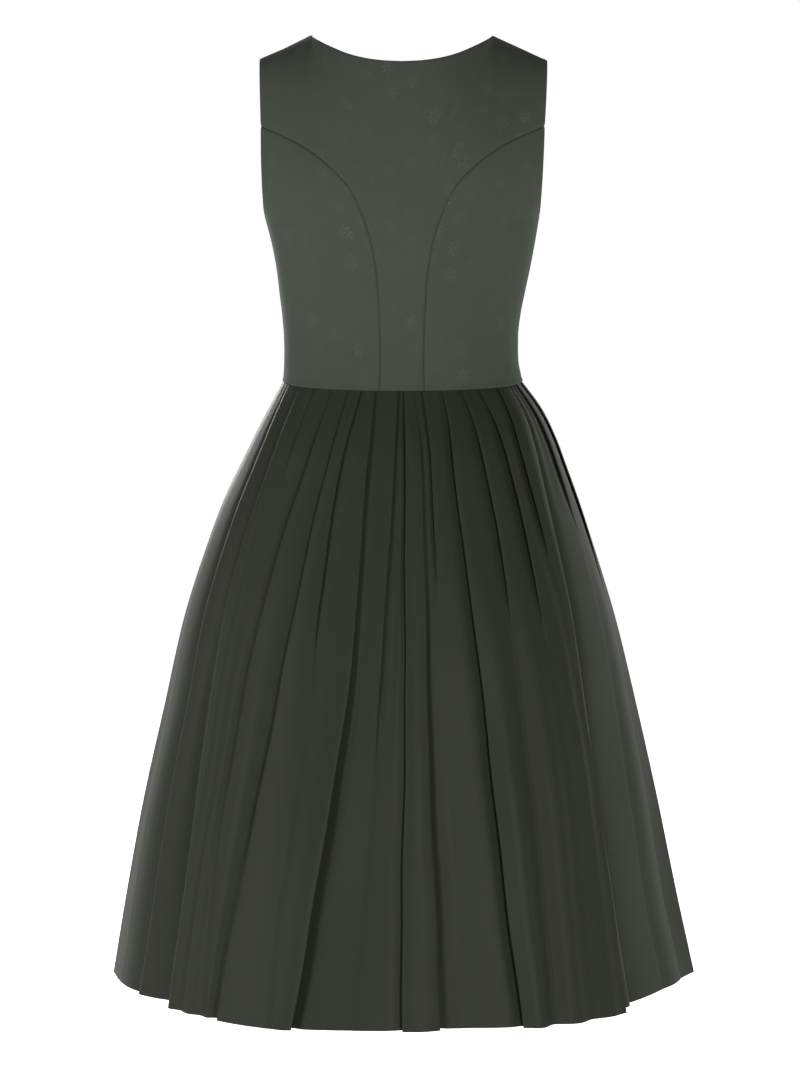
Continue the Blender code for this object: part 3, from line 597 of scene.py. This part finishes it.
def side_panel(face, sign, gap, columns, rows):
    """Grid of the panel between the curved seam and the side seam, closed above by the lower armhole."""
    end = seam_end(face, sign)
    near = np.array(BORDER_MM[1:]) * MM

    def inner_edge(v):
        t = seam_turn(face, v, sign)
        return t + gap * GAP_SHARE / per_turn(face, sign * t, v)

    share = np.linspace(0, 1, columns + 1)
    kind = np.concatenate([np.zeros(len(near)), np.ones(columns + 1), np.full(len(near), 2)])
    inset = np.concatenate([[0.0], near[:-1], np.zeros(columns + 1), near[:-1][::-1], [0.0]])
    share = np.concatenate([np.zeros(len(near)), share, np.ones(len(near))])

    def turn_at(v, s):
        first, last = inner_edge(v), math.pi / 2
        a = first + near[-1] / per_turn(face, sign * first, v)
        b = last - near[-1] / per_turn(face, np.full_like(v, sign * last), v)
        width = np.maximum(last - first, 1e-4)
        squeeze = np.clip(width * per_turn(face, sign * first, v) / (2.6 * near[-1]), 0.0, 1.0)
        a = first + (a - first) * squeeze
        b = last - (last - b) * squeeze
        left = first + inset * squeeze / per_turn(face, sign * first, v)
        right = last - inset * squeeze / per_turn(face, np.full_like(v, sign * last), v)
        return sign * np.where(kind == 0, left, np.where(kind == 2, right, a + (b - a) * s))

    count = len(share)
    tops = bisect(np.full(count, UNDERARM_V), np.full(count, end - SEAM_TIP),
                  lambda v: np.abs(turn_at(v, share)) < armhole_turn(v))
    levels = lay_levels(face, sign, share, tops, turn_at, rows)
    turns = np.stack([turn_at(row, share) for row in levels])
    kinds = np.full(count, "turned")
    left = np.full(len(levels), "seam")
    if sign < 0:
        turns, levels = turns[:, ::-1], levels[:, ::-1]
    borders = {"left": left, "right": left, "bottom": np.full(count, "waist"), "top": kinds}
    return turns, levels, borders


def make_bodice_panel(name, face, grid, sizes, material):
    turns, levels, borders = grid
    points = bodice_point(face, turns, levels)
    normals = bodice_normal(face, turns, levels)
    half = sizes.seam_gap / 2
    points[..., 2] += np.where(levels < 1e-6, half, 0.0)
    points[..., 1] += np.where(np.abs(turns) > math.pi / 2 - 1e-6, face * half, 0.0)
    flat = flat_sizes(points)
    middle = np.abs(turns) < 1e-9
    if middle[:, 0].all():
        points[:, 0, 0] += half
        normals[:, 0, 0] = 0.0
    if middle[:, -1].all():
        points[:, -1, 0] -= half
        normals[:, -1, 0] = 0.0
    laid = points - normals * bodice_relief(face, points, borders)[..., None]
    piece = cloth_from_grid(name, laid, flat, sizes.bodice_cloth)
    finish_piece(piece, "bodice_" + name, material)


def finish_piece(piece, node, material):
    piece.data.materials.append(material)
    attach(piece, "root")
    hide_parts(node)


# ---- skirt ----
FACE_FORM = {key: Curve(SKIRT_FORM["drop"], SKIRT_FORM[key]) for key in ("left", "right", "back", "front")}


def skirt_base(face, t, drop):
    """Place in plan of the skirt without its pleats, the way outward there, and length per radian."""
    half = np.where(np.sin(t) < 0, FACE_FORM["left"](drop), FACE_FORM["right"](drop))
    depth = FACE_FORM["back" if face < 0 else "front"](drop)
    place = np.stack([half * np.sin(t), face * depth * np.cos(t)], -1)
    out = np.stack([depth * np.sin(t), face * half * np.cos(t)], -1)
    speed = np.hypot(half * np.cos(t), depth * np.sin(t))
    return place, out / np.linalg.norm(out, axis=-1, keepdims=True), speed


def pleat_rows(face):
    rows = [dict(zip(PLEAT_COLUMNS, row)) for row in BACK_PLEATS]
    if face > 0:
        turned = []
        for i, (row, shift, factor) in enumerate(zip(rows, FRONT_SHIFT, FRONT_DEPTH)):
            new = dict(row)
            new["belly"] = rows[i - 1]["belly"] if i else 0
            new["turn"] = -row["turn"]
            for key in PLEAT_DROPS:
                new[key] = -row[key] + shift
            new["full"] = row["full"] * factor
            new["hem_left"], new["hem_right"] = row["hem_right"] * factor, row["hem_left"] * factor
            turned.append(new)
        rows = turned
    rows.sort(key=lambda row: row["at_000"])
    return rows


def pleat_state(row, drop):
    """Angle, levels left and right and tuck (mm) of a pleat at each drop."""
    at = Curve(tuple(PLEAT_DROPS.values()), [row[key] for key in PLEAT_DROPS])(drop)
    height = row["seam"] + (row["full"] - row["seam"]) * ramp(drop, 0.0, FULL_AT)
    late = ramp(drop, *HEM_COMES_IN)
    if row["fades"] > 0:
        alive = 1.0 - ramp(drop, 0.55 * row["fades"], row["fades"])
    else:
        alive = 1.0 - FLATTENS * late
    height = height * alive
    tuck = (TUCK_SEAM + TUCK_GAIN * ramp(drop, 0.0, 0.05)) * alive
    tuck = tuck - 5.0 * (1.0 - alive) if row["fades"] > 0 else tuck + row["tuck"] * late
    left = row["hem_left"] * late - 0.5 * row["turn"] * height
    right = row["hem_right"] * late + 0.5 * row["turn"] * height
    return np.radians(at), left, right, tuck


def skirt_marks(face, drop):
    """Corner points of the pleated cloth in plan at each drop, and the radius of each corner in mm."""
    rows = pleat_rows(face)
    states = [pleat_state(row, drop) for row in rows]
    for i, row in enumerate(rows):
        wander = 0.16 * np.sin(drop * 17.0 + 2.3 * i) + 0.10 * np.sin(drop * 41.0 + 1.1 * i)
        t, left, right, tuck = states[i]
        states[i] = (t + np.radians(wander * ramp(drop, 0.0, 0.08)), left, right, tuck)
    full = np.zeros_like(drop)
    angles = [full - math.pi / 2] + [s[0] for s in states] + [full + math.pi / 2]
    turns, levels, radii = [full - math.pi / 2], [full], [0.0]
    for i, (row, (t, left, right, tuck)) in enumerate(zip(rows, states)):
        speed = skirt_base(face, t, drop)[2] / MM
        room_left = (t - angles[i]) * speed * (0.5 if i > 0 else 1.0)
        room_right = (angles[i + 2] - t) * speed * (0.5 if i < len(rows) - 1 else 1.0)
        tuck = np.minimum(tuck, np.minimum(0.55 * room_left, 0.55 * room_right))
        near = np.abs(right - left)
        under, upper = (left, right) if row["turn"] > 0 else (right, left)
        room_under, room_upper = (room_left, room_right) if row["turn"] > 0 else (room_right, room_left)
        crest = np.minimum(1.2 * row["roll"] + 0.25 * near + 1.0, 0.9 * room_upper)
        foot = np.minimum(4.0 + 0.8 * np.minimum(near, 7.0), 0.62 * room_under)
        edge = upper - 0.20 * (upper - under)
        # the cloth under the fold rolls down from the shoulder to the lip and on to the valley; the folded
        # edge comes back over it and rises to the crest
        closed = ramp(tuck, -1.0, 1.0)
        offsets = [-foot, -0.12 * foot - 0.3, tuck * closed, -0.3 * np.minimum(tuck, 0.0), crest]
        dip = np.minimum(0.5 * near, 3.2) * closed
        heights = [under + dip, under, under - 0.2 * dip, edge, upper]
        corner = [SHOULDER_R, LIP_R, VALLEY_R, row["roll"], CREST_R]
        if row["turn"] < 0:
            offsets = [-o for o in offsets][::-1]
            heights, corner = heights[::-1], corner[::-1]
        for o, h, r in zip(offsets, heights, corner):
            turns.append(t + o / speed)
            levels.append(h)
            radii.append(r)
        if i < len(rows) - 1:
            after = states[i + 1]
            swell = 1.2 * ramp(drop, 0.0, 0.05) + row["belly"] * ramp(drop, 0.12, 0.45)
            turns.append(0.5 * (t + after[0]))
            levels.append(0.5 * (right + after[1]) + swell)
            radii.append(BELLY_R)
    turns.append(full + math.pi / 2)
    levels.append(full)
    radii.append(0.0)
    turns, levels = np.stack(turns, 1), np.stack(levels, 1)
    place, out, _ = skirt_base(face, turns, drop[:, None])
    return place + out * levels[..., None] * MM, np.array(radii)


def round_corners(marks, radii, drop):
    """Plan curves through the marks with rounded corners; every row gets the same number of points."""
    columns = [marks[:, :1]]
    count = marks.shape[1]
    grow = (0.60 + 0.6 * ramp(drop, 0.0, 0.40))[:, None]
    leave = marks[:, 0]
    for i in range(1, count - 1):
        before, here, after = marks[:, i - 1], marks[:, i], marks[:, i + 1]
        a, b = before - here, after - here
        la = np.linalg.norm(a, axis=-1, keepdims=True) + 1e-9
        lb = np.linalg.norm(b, axis=-1, keepdims=True) + 1e-9
        reach = radii[i] * MM * (grow if radii[i] < FOLD_R else 1.0)
        start = here + a / la * np.minimum(reach * 1.5, 0.49 * la)
        stop = here + b / lb * np.minimum(reach * 1.5, 0.49 * lb)
        straight = 3 if radii[i] > 20 or radii[i - 1] > 20 else 1
        for k in range(1, straight + 1):
            columns.append((leave + (start - leave) * k / (straight + 1))[:, None])
        samples = 5 if radii[i] < 5 else 4
        for k in range(samples):
            f = k / (samples - 1)
            columns.append(((1 - f) ** 2 * start + 2 * f * (1 - f) * here + f**2 * stop)[:, None])
        leave = stop
    columns.append((0.5 * (leave + marks[:, -1]))[:, None])
    columns.append(marks[:, -1:])
    return np.concatenate(columns, 1)


def make_skirt(name, face, sizes, material):
    steps = np.linspace(0.014, 1.0, sizes.skirt_rows) ** 1.25
    drop = np.unique(sizes.skirt_drop * np.concatenate([WAIST_ROWS, steps]))
    hem = np.array(HEM_ROWS_MM) * MM
    drop = np.sort(np.concatenate([drop[:-1], sizes.skirt_drop - hem, drop[-1:]]))
    marks, radii = skirt_marks(face, drop)
    plan = round_corners(marks, radii, drop)
    half_gap = sizes.seam_gap / 2
    # a slow unevenness of the hanging cloth, growing towards the hem
    turn = np.arctan2(plan[..., 0], face * plan[..., 1])
    swing = (np.sin(turn * 9.0 + drop[:, None] * 5.0 + face) * 0.9
             + np.sin(drop[:, None] * 23.0 + turn * 7.0) * 0.35)
    fade_side = ramp(np.abs(np.abs(turn) - math.pi / 2), 0.0, 0.12)
    away = plan / np.linalg.norm(plan, axis=-1, keepdims=True)
    plan = plan + away * (swing * MM * (0.25 + 1.6 * ramp(drop, 0.05, 0.67))[:, None] * fade_side)[..., None]
    plan = plan + away * (sizes.skirt_cloth / 2)
    plan[:, [0, -1], 1] = face * half_gap
    z = np.repeat((WAIST_Z - drop)[:, None], plan.shape[1], 1)
    z[0] -= half_gap
    points = np.concatenate([plan, z[..., None]], -1)[::-1]
    length, across = along(points, 0), along(points, 1)
    flat = np.stack(np.broadcast_arrays(across[:1] - across[:1].mean(), length.mean(1, keepdims=True)), -1)
    weight = np.where(length < sizes.hem_depth, 1.0, ONE_LAYER)
    piece = cloth_from_grid(name + "_cloth", points, flat, sizes.skirt_cloth * HEM_WALL, weight)
    finish_piece(piece, name, material)


# ---- materials ----
def add_node(tree, kind, inputs=None, **settings):
    """Adds a node; inputs maps a socket to a value or to the output that feeds it."""
    node = tree.nodes.new(kind)
    for key, value in settings.items():
        setattr(node, key, value)
    for key, value in (inputs or {}).items():
        if isinstance(value, bpy.types.NodeSocket):
            tree.links.new(value, node.inputs[key])
        else:
            node.inputs[key].default_value = value
    return node


def new_material(name):
    material = bpy.data.materials.new(name)
    material.use_nodes = True
    tree = material.node_tree
    return material, tree, tree.nodes["Principled BSDF"]


def set_sheen(shader, colours, specular, sheen, spread):
    shader.inputs["Specular IOR Level"].default_value = specular
    shader.inputs["Sheen Weight"].default_value = sheen
    shader.inputs["Sheen Roughness"].default_value = spread
    shader.inputs["Sheen Tint"].default_value = (*colours.ornament, 1)


REPEAT = (26.0, 30.0)       # the ornament's repeat in mm, across and up
# The ornament, in mm: a small ring with a flower of five petals inside and eight short rays outside, every
# other column half a repeat lower. Each row names a value, its operation and its terms.
ORNAMENT = (
    ("column", "DIVIDE", "x", REPEAT[0] * MM),
    ("number", "FLOOR", "column"),
    ("odd", "FLOORED_MODULO", "number", 2.0),
    ("stagger", "MULTIPLY", "odd", 0.5),
    ("level", "DIVIDE", "y", REPEAT[1] * MM),
    ("row", "ADD", "level", "stagger"),
    ("column_share", "FRACT", "column"),
    ("off_column", "SUBTRACT", "column_share", 0.5),
    ("across", "MULTIPLY", "off_column", REPEAT[0]),
    ("row_share", "FRACT", "row"),
    ("off_row", "SUBTRACT", "row_share", 0.5),
    ("up", "MULTIPLY", "off_row", REPEAT[1]),
    ("up_squared", "MULTIPLY", "up", "up"),
    ("squared", "MULTIPLY_ADD", "across", "across", "up_squared"),
    ("radius", "SQRT", "squared"),
    ("angle", "ARCTAN2", "up", "across"),
    ("petal_turn", "MULTIPLY", "angle", 5.0),
    ("petal", "COSINE", "petal_turn"),
    ("petal_edge", "MULTIPLY_ADD", "petal", 0.7, 1.7),
    ("flower", "SUBTRACT", "petal_edge", "radius"),
    ("off_ring", "SUBTRACT", "radius", 4.6),
    ("from_ring", "ABSOLUTE", "off_ring"),
    ("ring", "SUBTRACT", 0.6, "from_ring"),
    ("ray_turn", "MULTIPLY", "angle", 8.0),
    ("ray", "COSINE", "ray_turn"),
    ("ray_length", "MULTIPLY", "ray", 1.6),
    ("off_rays", "SUBTRACT", "radius", 7.3),
    ("from_rays", "ABSOLUTE", "off_rays"),
    ("rays", "SUBTRACT", "ray_length", "from_rays"),
    ("ring_and_flower", "MAXIMUM", "flower", "ring"),
    ("shape", "MAXIMUM", "ring_and_flower", "rays"),
)


def bodice_material(colours):
    """Wool-blend jacquard, woven: matt ground, small tone-on-tone ornaments, lighter in patches of painted sheen,
    faint cloudiness.
    """
    material, tree, shader = new_material("wool_blend_jacquard_woven")
    uv = add_node(tree, "ShaderNodeUVMap", uv_map="cloth").outputs["UV"]
    # the weave draws the ornament unevenly, so its place wanders a little
    bend = add_node(tree, "ShaderNodeTexNoise", {"Vector": uv, "Scale": 160.0, "Detail": 1.0})
    bent = add_node(tree, "ShaderNodeVectorMath", {0: bend.outputs["Color"], 1: (2.4 * MM,) * 3, 2: uv},
                    operation="MULTIPLY_ADD")
    parts = add_node(tree, "ShaderNodeSeparateXYZ", {0: bent.outputs[0]})
    values = {"x": parts.outputs["X"], "y": parts.outputs["Y"]}
    for value, operation, *terms in ORNAMENT:
        inputs = {i: values.get(term, term) for i, term in enumerate(terms)}
        values[value] = add_node(tree, "ShaderNodeMath", inputs, operation=operation).outputs[0]
    drawn = add_node(tree, "ShaderNodeMapRange", {0: values["shape"], 1: -0.5, 2: 0.6}).outputs[0]
    # painted sheen: the ornaments show lighter only in random patches, where the sheen of the weave would catch
    # the light
    sheen_cloud = add_node(tree, "ShaderNodeTexNoise", {"Vector": uv, "Scale": 19.0, "Detail": 3.0, "Roughness": 0.55})
    painted_sheen_patches = add_node(tree, "ShaderNodeMapRange", {0: sheen_cloud.outputs["Fac"], 1: 0.50, 2: 0.72, 3: 0.05, 4: 1.0})
    motif_and_painted_sheen = add_node(tree, "ShaderNodeMath", {0: drawn, 1: painted_sheen_patches.outputs[0]}, operation="MULTIPLY").outputs[0]
    broad = add_node(tree, "ShaderNodeTexNoise", {"Vector": uv, "Scale": 11.0, "Detail": 2.0, "Roughness": 0.5})
    tone = add_node(tree, "ShaderNodeMix", {"Factor": broad.outputs["Fac"], 6: (*colours.bodice_dark, 1),
                                            7: (*colours.bodice, 1)}, data_type="RGBA")
    # painted sheen: in those patches the base colour turns towards the lighter ornament colour
    faint = add_node(tree, "ShaderNodeMath", {0: motif_and_painted_sheen, 1: 0.22}, operation="MULTIPLY")
    lit = add_node(tree, "ShaderNodeMix", {"Factor": faint.outputs[0], 6: tone.outputs[2],
                                           7: (*colours.ornament, 1)}, data_type="RGBA")
    # threads of 0.3 mm, drawn at 1.1 mm so that the render can show them
    thread = add_node(tree, "ShaderNodeVectorMath", {0: uv, 1: (1 / (1.1 * MM), 1 / (1.1 * MM), 1.0)},
                      operation="MULTIPLY")
    weave = add_node(tree, "ShaderNodeTexNoise", {"Vector": thread.outputs[0], "Scale": 1.0, "Detail": 2.0,
                                                  "Roughness": 0.7})
    shade = add_node(tree, "ShaderNodeMapRange", {0: weave.outputs["Fac"], 1: 0.3, 2: 0.7,
                                                  3: 0.93, 4: 1.07}).outputs[0]
    final = add_node(tree, "ShaderNodeVectorMath", {0: lit.outputs[2], "Scale": shade}, operation="SCALE")
    tree.links.new(final.outputs[0], shader.inputs["Base Color"])
    threads = add_node(tree, "ShaderNodeMath", {0: weave.outputs["Fac"], 1: 0.5}, operation="MULTIPLY")
    height = add_node(tree, "ShaderNodeMath", {0: motif_and_painted_sheen, 1: 0.5, 2: threads.outputs[0]}, operation="MULTIPLY_ADD")
    bump = add_node(tree, "ShaderNodeBump", {"Strength": 0.18, "Distance": 0.2 * MM, "Height": height.outputs[0]})
    tree.links.new(bump.outputs[0], shader.inputs["Normal"])
    rough = add_node(tree, "ShaderNodeMath", {0: motif_and_painted_sheen, 1: -0.05, 2: 0.80}, operation="MULTIPLY_ADD")
    tree.links.new(rough.outputs[0], shader.inputs["Roughness"])
    set_sheen(shader, colours, specular=0.16, sheen=0.10, spread=0.45)
    return material


def skirt_material(colours):
    """Cotton sateen, woven and pressed: smooth, dark, with a soft broad sheen."""
    material, tree, shader = new_material("cotton_sateen_woven")
    uv = add_node(tree, "ShaderNodeUVMap", uv_map="cloth").outputs["UV"]
    broad = add_node(tree, "ShaderNodeTexNoise", {"Vector": uv, "Scale": 6.0, "Detail": 3.0, "Roughness": 0.5})
    tone = add_node(tree, "ShaderNodeMix", {"Factor": broad.outputs["Fac"], 6: (*colours.skirt_dark, 1),
                                            7: (*colours.skirt, 1)}, data_type="RGBA")
    # 0.25 mm threads running down the cloth, drawn 1.3 mm wide and 9 mm long so that they show
    thread = add_node(tree, "ShaderNodeVectorMath", {0: uv, 1: (1 / (1.3 * MM), 1 / (9 * MM), 1.0)},
                      operation="MULTIPLY")
    weave = add_node(tree, "ShaderNodeTexNoise", {"Vector": thread.outputs[0], "Scale": 1.0, "Detail": 2.0,
                                                  "Roughness": 0.6})
    shade = add_node(tree, "ShaderNodeMapRange", {0: weave.outputs["Fac"], 1: 0.3, 2: 0.7,
                                                  3: 0.95, 4: 1.05}).outputs[0]
    final = add_node(tree, "ShaderNodeVectorMath", {0: tone.outputs[2], "Scale": shade}, operation="SCALE")
    tree.links.new(final.outputs[0], shader.inputs["Base Color"])
    bump = add_node(tree, "ShaderNodeBump", {"Strength": 0.15, "Distance": 0.2 * MM,
                                             "Height": weave.outputs["Fac"]})
    tree.links.new(bump.outputs[0], shader.inputs["Normal"])
    shader.inputs["Roughness"].default_value = 0.56
    set_sheen(shader, colours, specular=0.10, sheen=0.03, spread=0.35)
    return material


def floor_material(colours):
    """Painted studio floor, rolled: pale and matt."""
    material, tree, shader = new_material("studio_paint_rolled")
    place = add_node(tree, "ShaderNodeTexCoord").outputs["Object"]
    grain = add_node(tree, "ShaderNodeTexNoise", {"Vector": place, "Scale": 3.0, "Detail": 2.0})
    shade = add_node(tree, "ShaderNodeMapRange", {0: grain.outputs["Fac"], 3: 0.99, 4: 1.0}).outputs[0]
    final = add_node(tree, "ShaderNodeVectorMath", {0: colours.floor, "Scale": shade}, operation="SCALE")
    tree.links.new(final.outputs[0], shader.inputs["Base Color"])
    shader.inputs["Roughness"].default_value = 0.9
    shader.inputs["Emission Color"].default_value = (1.0, 1.0, 1.0, 1.0)
    shader.inputs["Emission Strength"].default_value = 0.80
    return material


# ---- settings a user would change ----
class DirndlSizes(bpy.types.PropertyGroup):
    """Sizes of the cloth."""
    bodice_cloth: bpy.props.FloatProperty(
        name="Bodice cloth", description="Thickness of the bodice cloth",
        default=0.0016, min=0.0005, max=0.003, unit="LENGTH")
    skirt_cloth: bpy.props.FloatProperty(
        name="Skirt cloth", description="Thickness of the skirt cloth",
        default=0.0010, min=0.0004, max=0.003, unit="LENGTH")
    seam_gap: bpy.props.FloatProperty(
        name="Seam gap", description="Gap between two sewn panels",
        default=0.00004, min=0.00001, max=0.001, unit="LENGTH")
    skirt_drop: bpy.props.FloatProperty(
        name="Skirt drop", description="Height from the waist seam to the hem",
        default=0.673, min=0.3, max=0.673, unit="LENGTH")
    hem_depth: bpy.props.FloatProperty(
        name="Hem", description="Depth of the cloth turned up at the hem",
        default=0.028, min=0.005, max=0.06, unit="LENGTH")
    skirt_rows: bpy.props.IntProperty(
        name="Skirt rows", description="Rows of points down the skirt",
        default=58, min=20, max=80)


class DirndlColours(bpy.types.PropertyGroup):
    """Colours of the cloth and the floor."""
    bodice: bpy.props.FloatVectorProperty(
        name="Bodice", description="Colour of the bodice cloth",
        default=from_hex("#323730"), subtype="COLOR", min=0, max=1)
    bodice_dark: bpy.props.FloatVectorProperty(
        name="Bodice shade", description="Darker clouding of the bodice cloth",
        default=from_hex("#2e332c"), subtype="COLOR", min=0, max=1)
    # the ornaments' lighter colour is painted sheen; the same colour also tints the real sheen of the cloth
    ornament: bpy.props.FloatVectorProperty(
        name="Ornaments", description="Colour of the woven ornaments and the sheen",
        default=from_hex("#61675c"), subtype="COLOR", min=0, max=1)
    skirt: bpy.props.FloatVectorProperty(
        name="Skirt", description="Colour of the skirt cloth",
        default=from_hex("#24271e"), subtype="COLOR", min=0, max=1)
    skirt_dark: bpy.props.FloatVectorProperty(
        name="Skirt shade", description="Darker clouding of the skirt cloth",
        default=from_hex("#20231a"), subtype="COLOR", min=0, max=1)
    floor: bpy.props.FloatVectorProperty(
        name="Floor", description="Colour of the studio floor",
        default=from_hex("#fbfbfa"), subtype="COLOR", min=0, max=1)


# ---- operators ----
class DIRNDL_OT_bodice_back(bpy.types.Operator):
    """Lays the centre back and the two side backs on the form"""
    bl_idname = "dirndl.bodice_back"
    bl_label = "Bodice back"

    def execute(self, context):
        sizes = context.scene.dirndl_sizes
        material = bodice_material(context.scene.dirndl_colours)
        grid = centre_panel(BACK, (-1, 1), sizes.seam_gap, 30, 84)
        make_bodice_panel("centre_back", BACK, grid, sizes, material)
        for side, sign in SIDES:
            grid = side_panel(BACK, sign, sizes.seam_gap, 34, 62)
            make_bodice_panel("side_back_" + side, BACK, grid, sizes, material)
        return {"FINISHED"}


class DIRNDL_OT_bodice_front(bpy.types.Operator):
    """Lays the two centre fronts and the two side fronts on the form"""
    bl_idname = "dirndl.bodice_front"
    bl_label = "Bodice front"

    def execute(self, context):
        sizes = context.scene.dirndl_sizes
        material = bodice_material(context.scene.dirndl_colours)
        for side, sign in SIDES:
            grid = centre_panel(FRONT, (sign,), sizes.seam_gap, 34, 84)
            make_bodice_panel("centre_front_" + side, FRONT, grid, sizes, material)
            grid = side_panel(FRONT, sign, sizes.seam_gap, 28, 62)
            make_bodice_panel("side_front_" + side, FRONT, grid, sizes, material)
        return {"FINISHED"}


class DIRNDL_OT_skirt(bpy.types.Operator):
    """Pleats the skirt back and front into the waist seam"""
    bl_idname = "dirndl.skirt"
    bl_label = "Pleated skirt"

    def execute(self, context):
        sizes = context.scene.dirndl_sizes
        material = skirt_material(context.scene.dirndl_colours)
        make_skirt("skirt_back", BACK, sizes, material)
        make_skirt("skirt_front", FRONT, sizes, material)
        return {"FINISHED"}


# Lamps: name, place, power in W, width and height in m. The key from the right gives the dark lines at folds.
LAMPS = (("key_right", (1.5, -4.2, -0.1), 116.0, 0.7, 1.1), ("rim_left", (-3.6, -1.7, 0.0), 78.0, 0.8, 1.3),
         ("far_left", (-1.6, 3.2, 0.3), 80.0, 0.8, 1.1), ("far_right", (2.6, 3.0, 0.3), 26.0, 1.0, 1.2))
LAMPS_AIM = (0.0, 0.0, -0.5)
CAMERA_PLACE, CAMERA_AIM, LENS_MM = (-0.0022, -6.6, 0.395), (-0.0022, 0.0, -0.5458), 201.2
FLOOR_Z = -1.42


class DIRNDL_OT_stage(bpy.types.Operator):
    """Sets up the floor, the light and the camera"""
    bl_idname = "dirndl.stage"
    bl_label = "Studio"

    def execute(self, context):
        scene = context.scene
        work = bmesh.new()
        bmesh.ops.create_grid(work, x_segments=1, y_segments=1, size=60.0)
        bmesh.ops.translate(work, verts=work.verts, vec=(0.0, 0.0, FLOOR_Z))
        mesh = bpy.data.meshes.new("studio_floor")
        work.to_mesh(mesh)
        work.free()
        floor = add_object("studio_floor", mesh)
        mesh.materials.append(floor_material(scene.dirndl_colours))
        world = bpy.data.worlds.new("studio")
        world.use_nodes = True
        # white round the horizon, dimmer overhead
        tree = world.node_tree
        sky = tree.nodes["Background"]
        sky.inputs["Color"].default_value = (1.0, 1.0, 1.0, 1.0)
        up = add_node(tree, "ShaderNodeSeparateXYZ", {0: add_node(tree, "ShaderNodeTexCoord").outputs["Object"]})
        dim = add_node(tree, "ShaderNodeMapRange", {0: up.outputs["Z"], 1: 0.17, 2: 0.36, 3: 1.0, 4: 0.15})
        tree.links.new(dim.outputs[0], sky.inputs["Strength"])
        scene.world = world
        for name, place, power, width, tall in LAMPS:
            data = bpy.data.lights.new(name, "AREA")
            data.shape = "RECTANGLE"
            data.size, data.size_y, data.energy = width, tall, power
            lamp = add_object(name, data)
            lamp.location = place
            lamp.rotation_euler = (Vector(LAMPS_AIM) - Vector(place)).to_track_quat("-Z", "Y").to_euler()
        data = bpy.data.cameras.new("camera")
        camera = add_object("camera", data)
        camera.location = CAMERA_PLACE
        aim = Vector(CAMERA_AIM) - camera.location
        camera.rotation_euler = aim.to_track_quat("-Z", "Y").to_euler()
        data.sensor_width, data.lens, data.clip_end = 36.0, LENS_MM, 200.0
        scene.camera = camera
        scene.view_settings.view_transform = "Standard"
        return {"FINISHED"}


class DIRNDL_PT_panel(bpy.types.Panel):
    bl_idname = "DIRNDL_PT_panel"
    bl_label = "Dirndl"
    bl_space_type = "VIEW_3D"
    bl_region_type = "UI"
    bl_category = "Dirndl"

    def draw(self, context):
        for group in (context.scene.dirndl_sizes, context.scene.dirndl_colours):
            for key in group.__annotations__:
                self.layout.prop(group, key)
        for operator in OPERATORS:
            self.layout.operator(operator.bl_idname)


OPERATORS = (DIRNDL_OT_bodice_back, DIRNDL_OT_bodice_front, DIRNDL_OT_skirt, DIRNDL_OT_stage)
CLASSES = (DirndlSizes, DirndlColours, *OPERATORS, DIRNDL_PT_panel)


def register():
    for cls in CLASSES:
        bpy.utils.register_class(cls)
    bpy.types.Scene.dirndl_sizes = bpy.props.PointerProperty(type=DirndlSizes)
    bpy.types.Scene.dirndl_colours = bpy.props.PointerProperty(type=DirndlColours)


def unregister():
    del bpy.types.Scene.dirndl_colours
    del bpy.types.Scene.dirndl_sizes
    for cls in reversed(CLASSES):
        bpy.utils.unregister_class(cls)


def main():
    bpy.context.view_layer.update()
    register()
    bpy.ops.dirndl.bodice_back()
    bpy.ops.dirndl.bodice_front()
    bpy.ops.dirndl.skirt()
    bpy.ops.dirndl.stage()


if __name__ == "__main__":
    main()
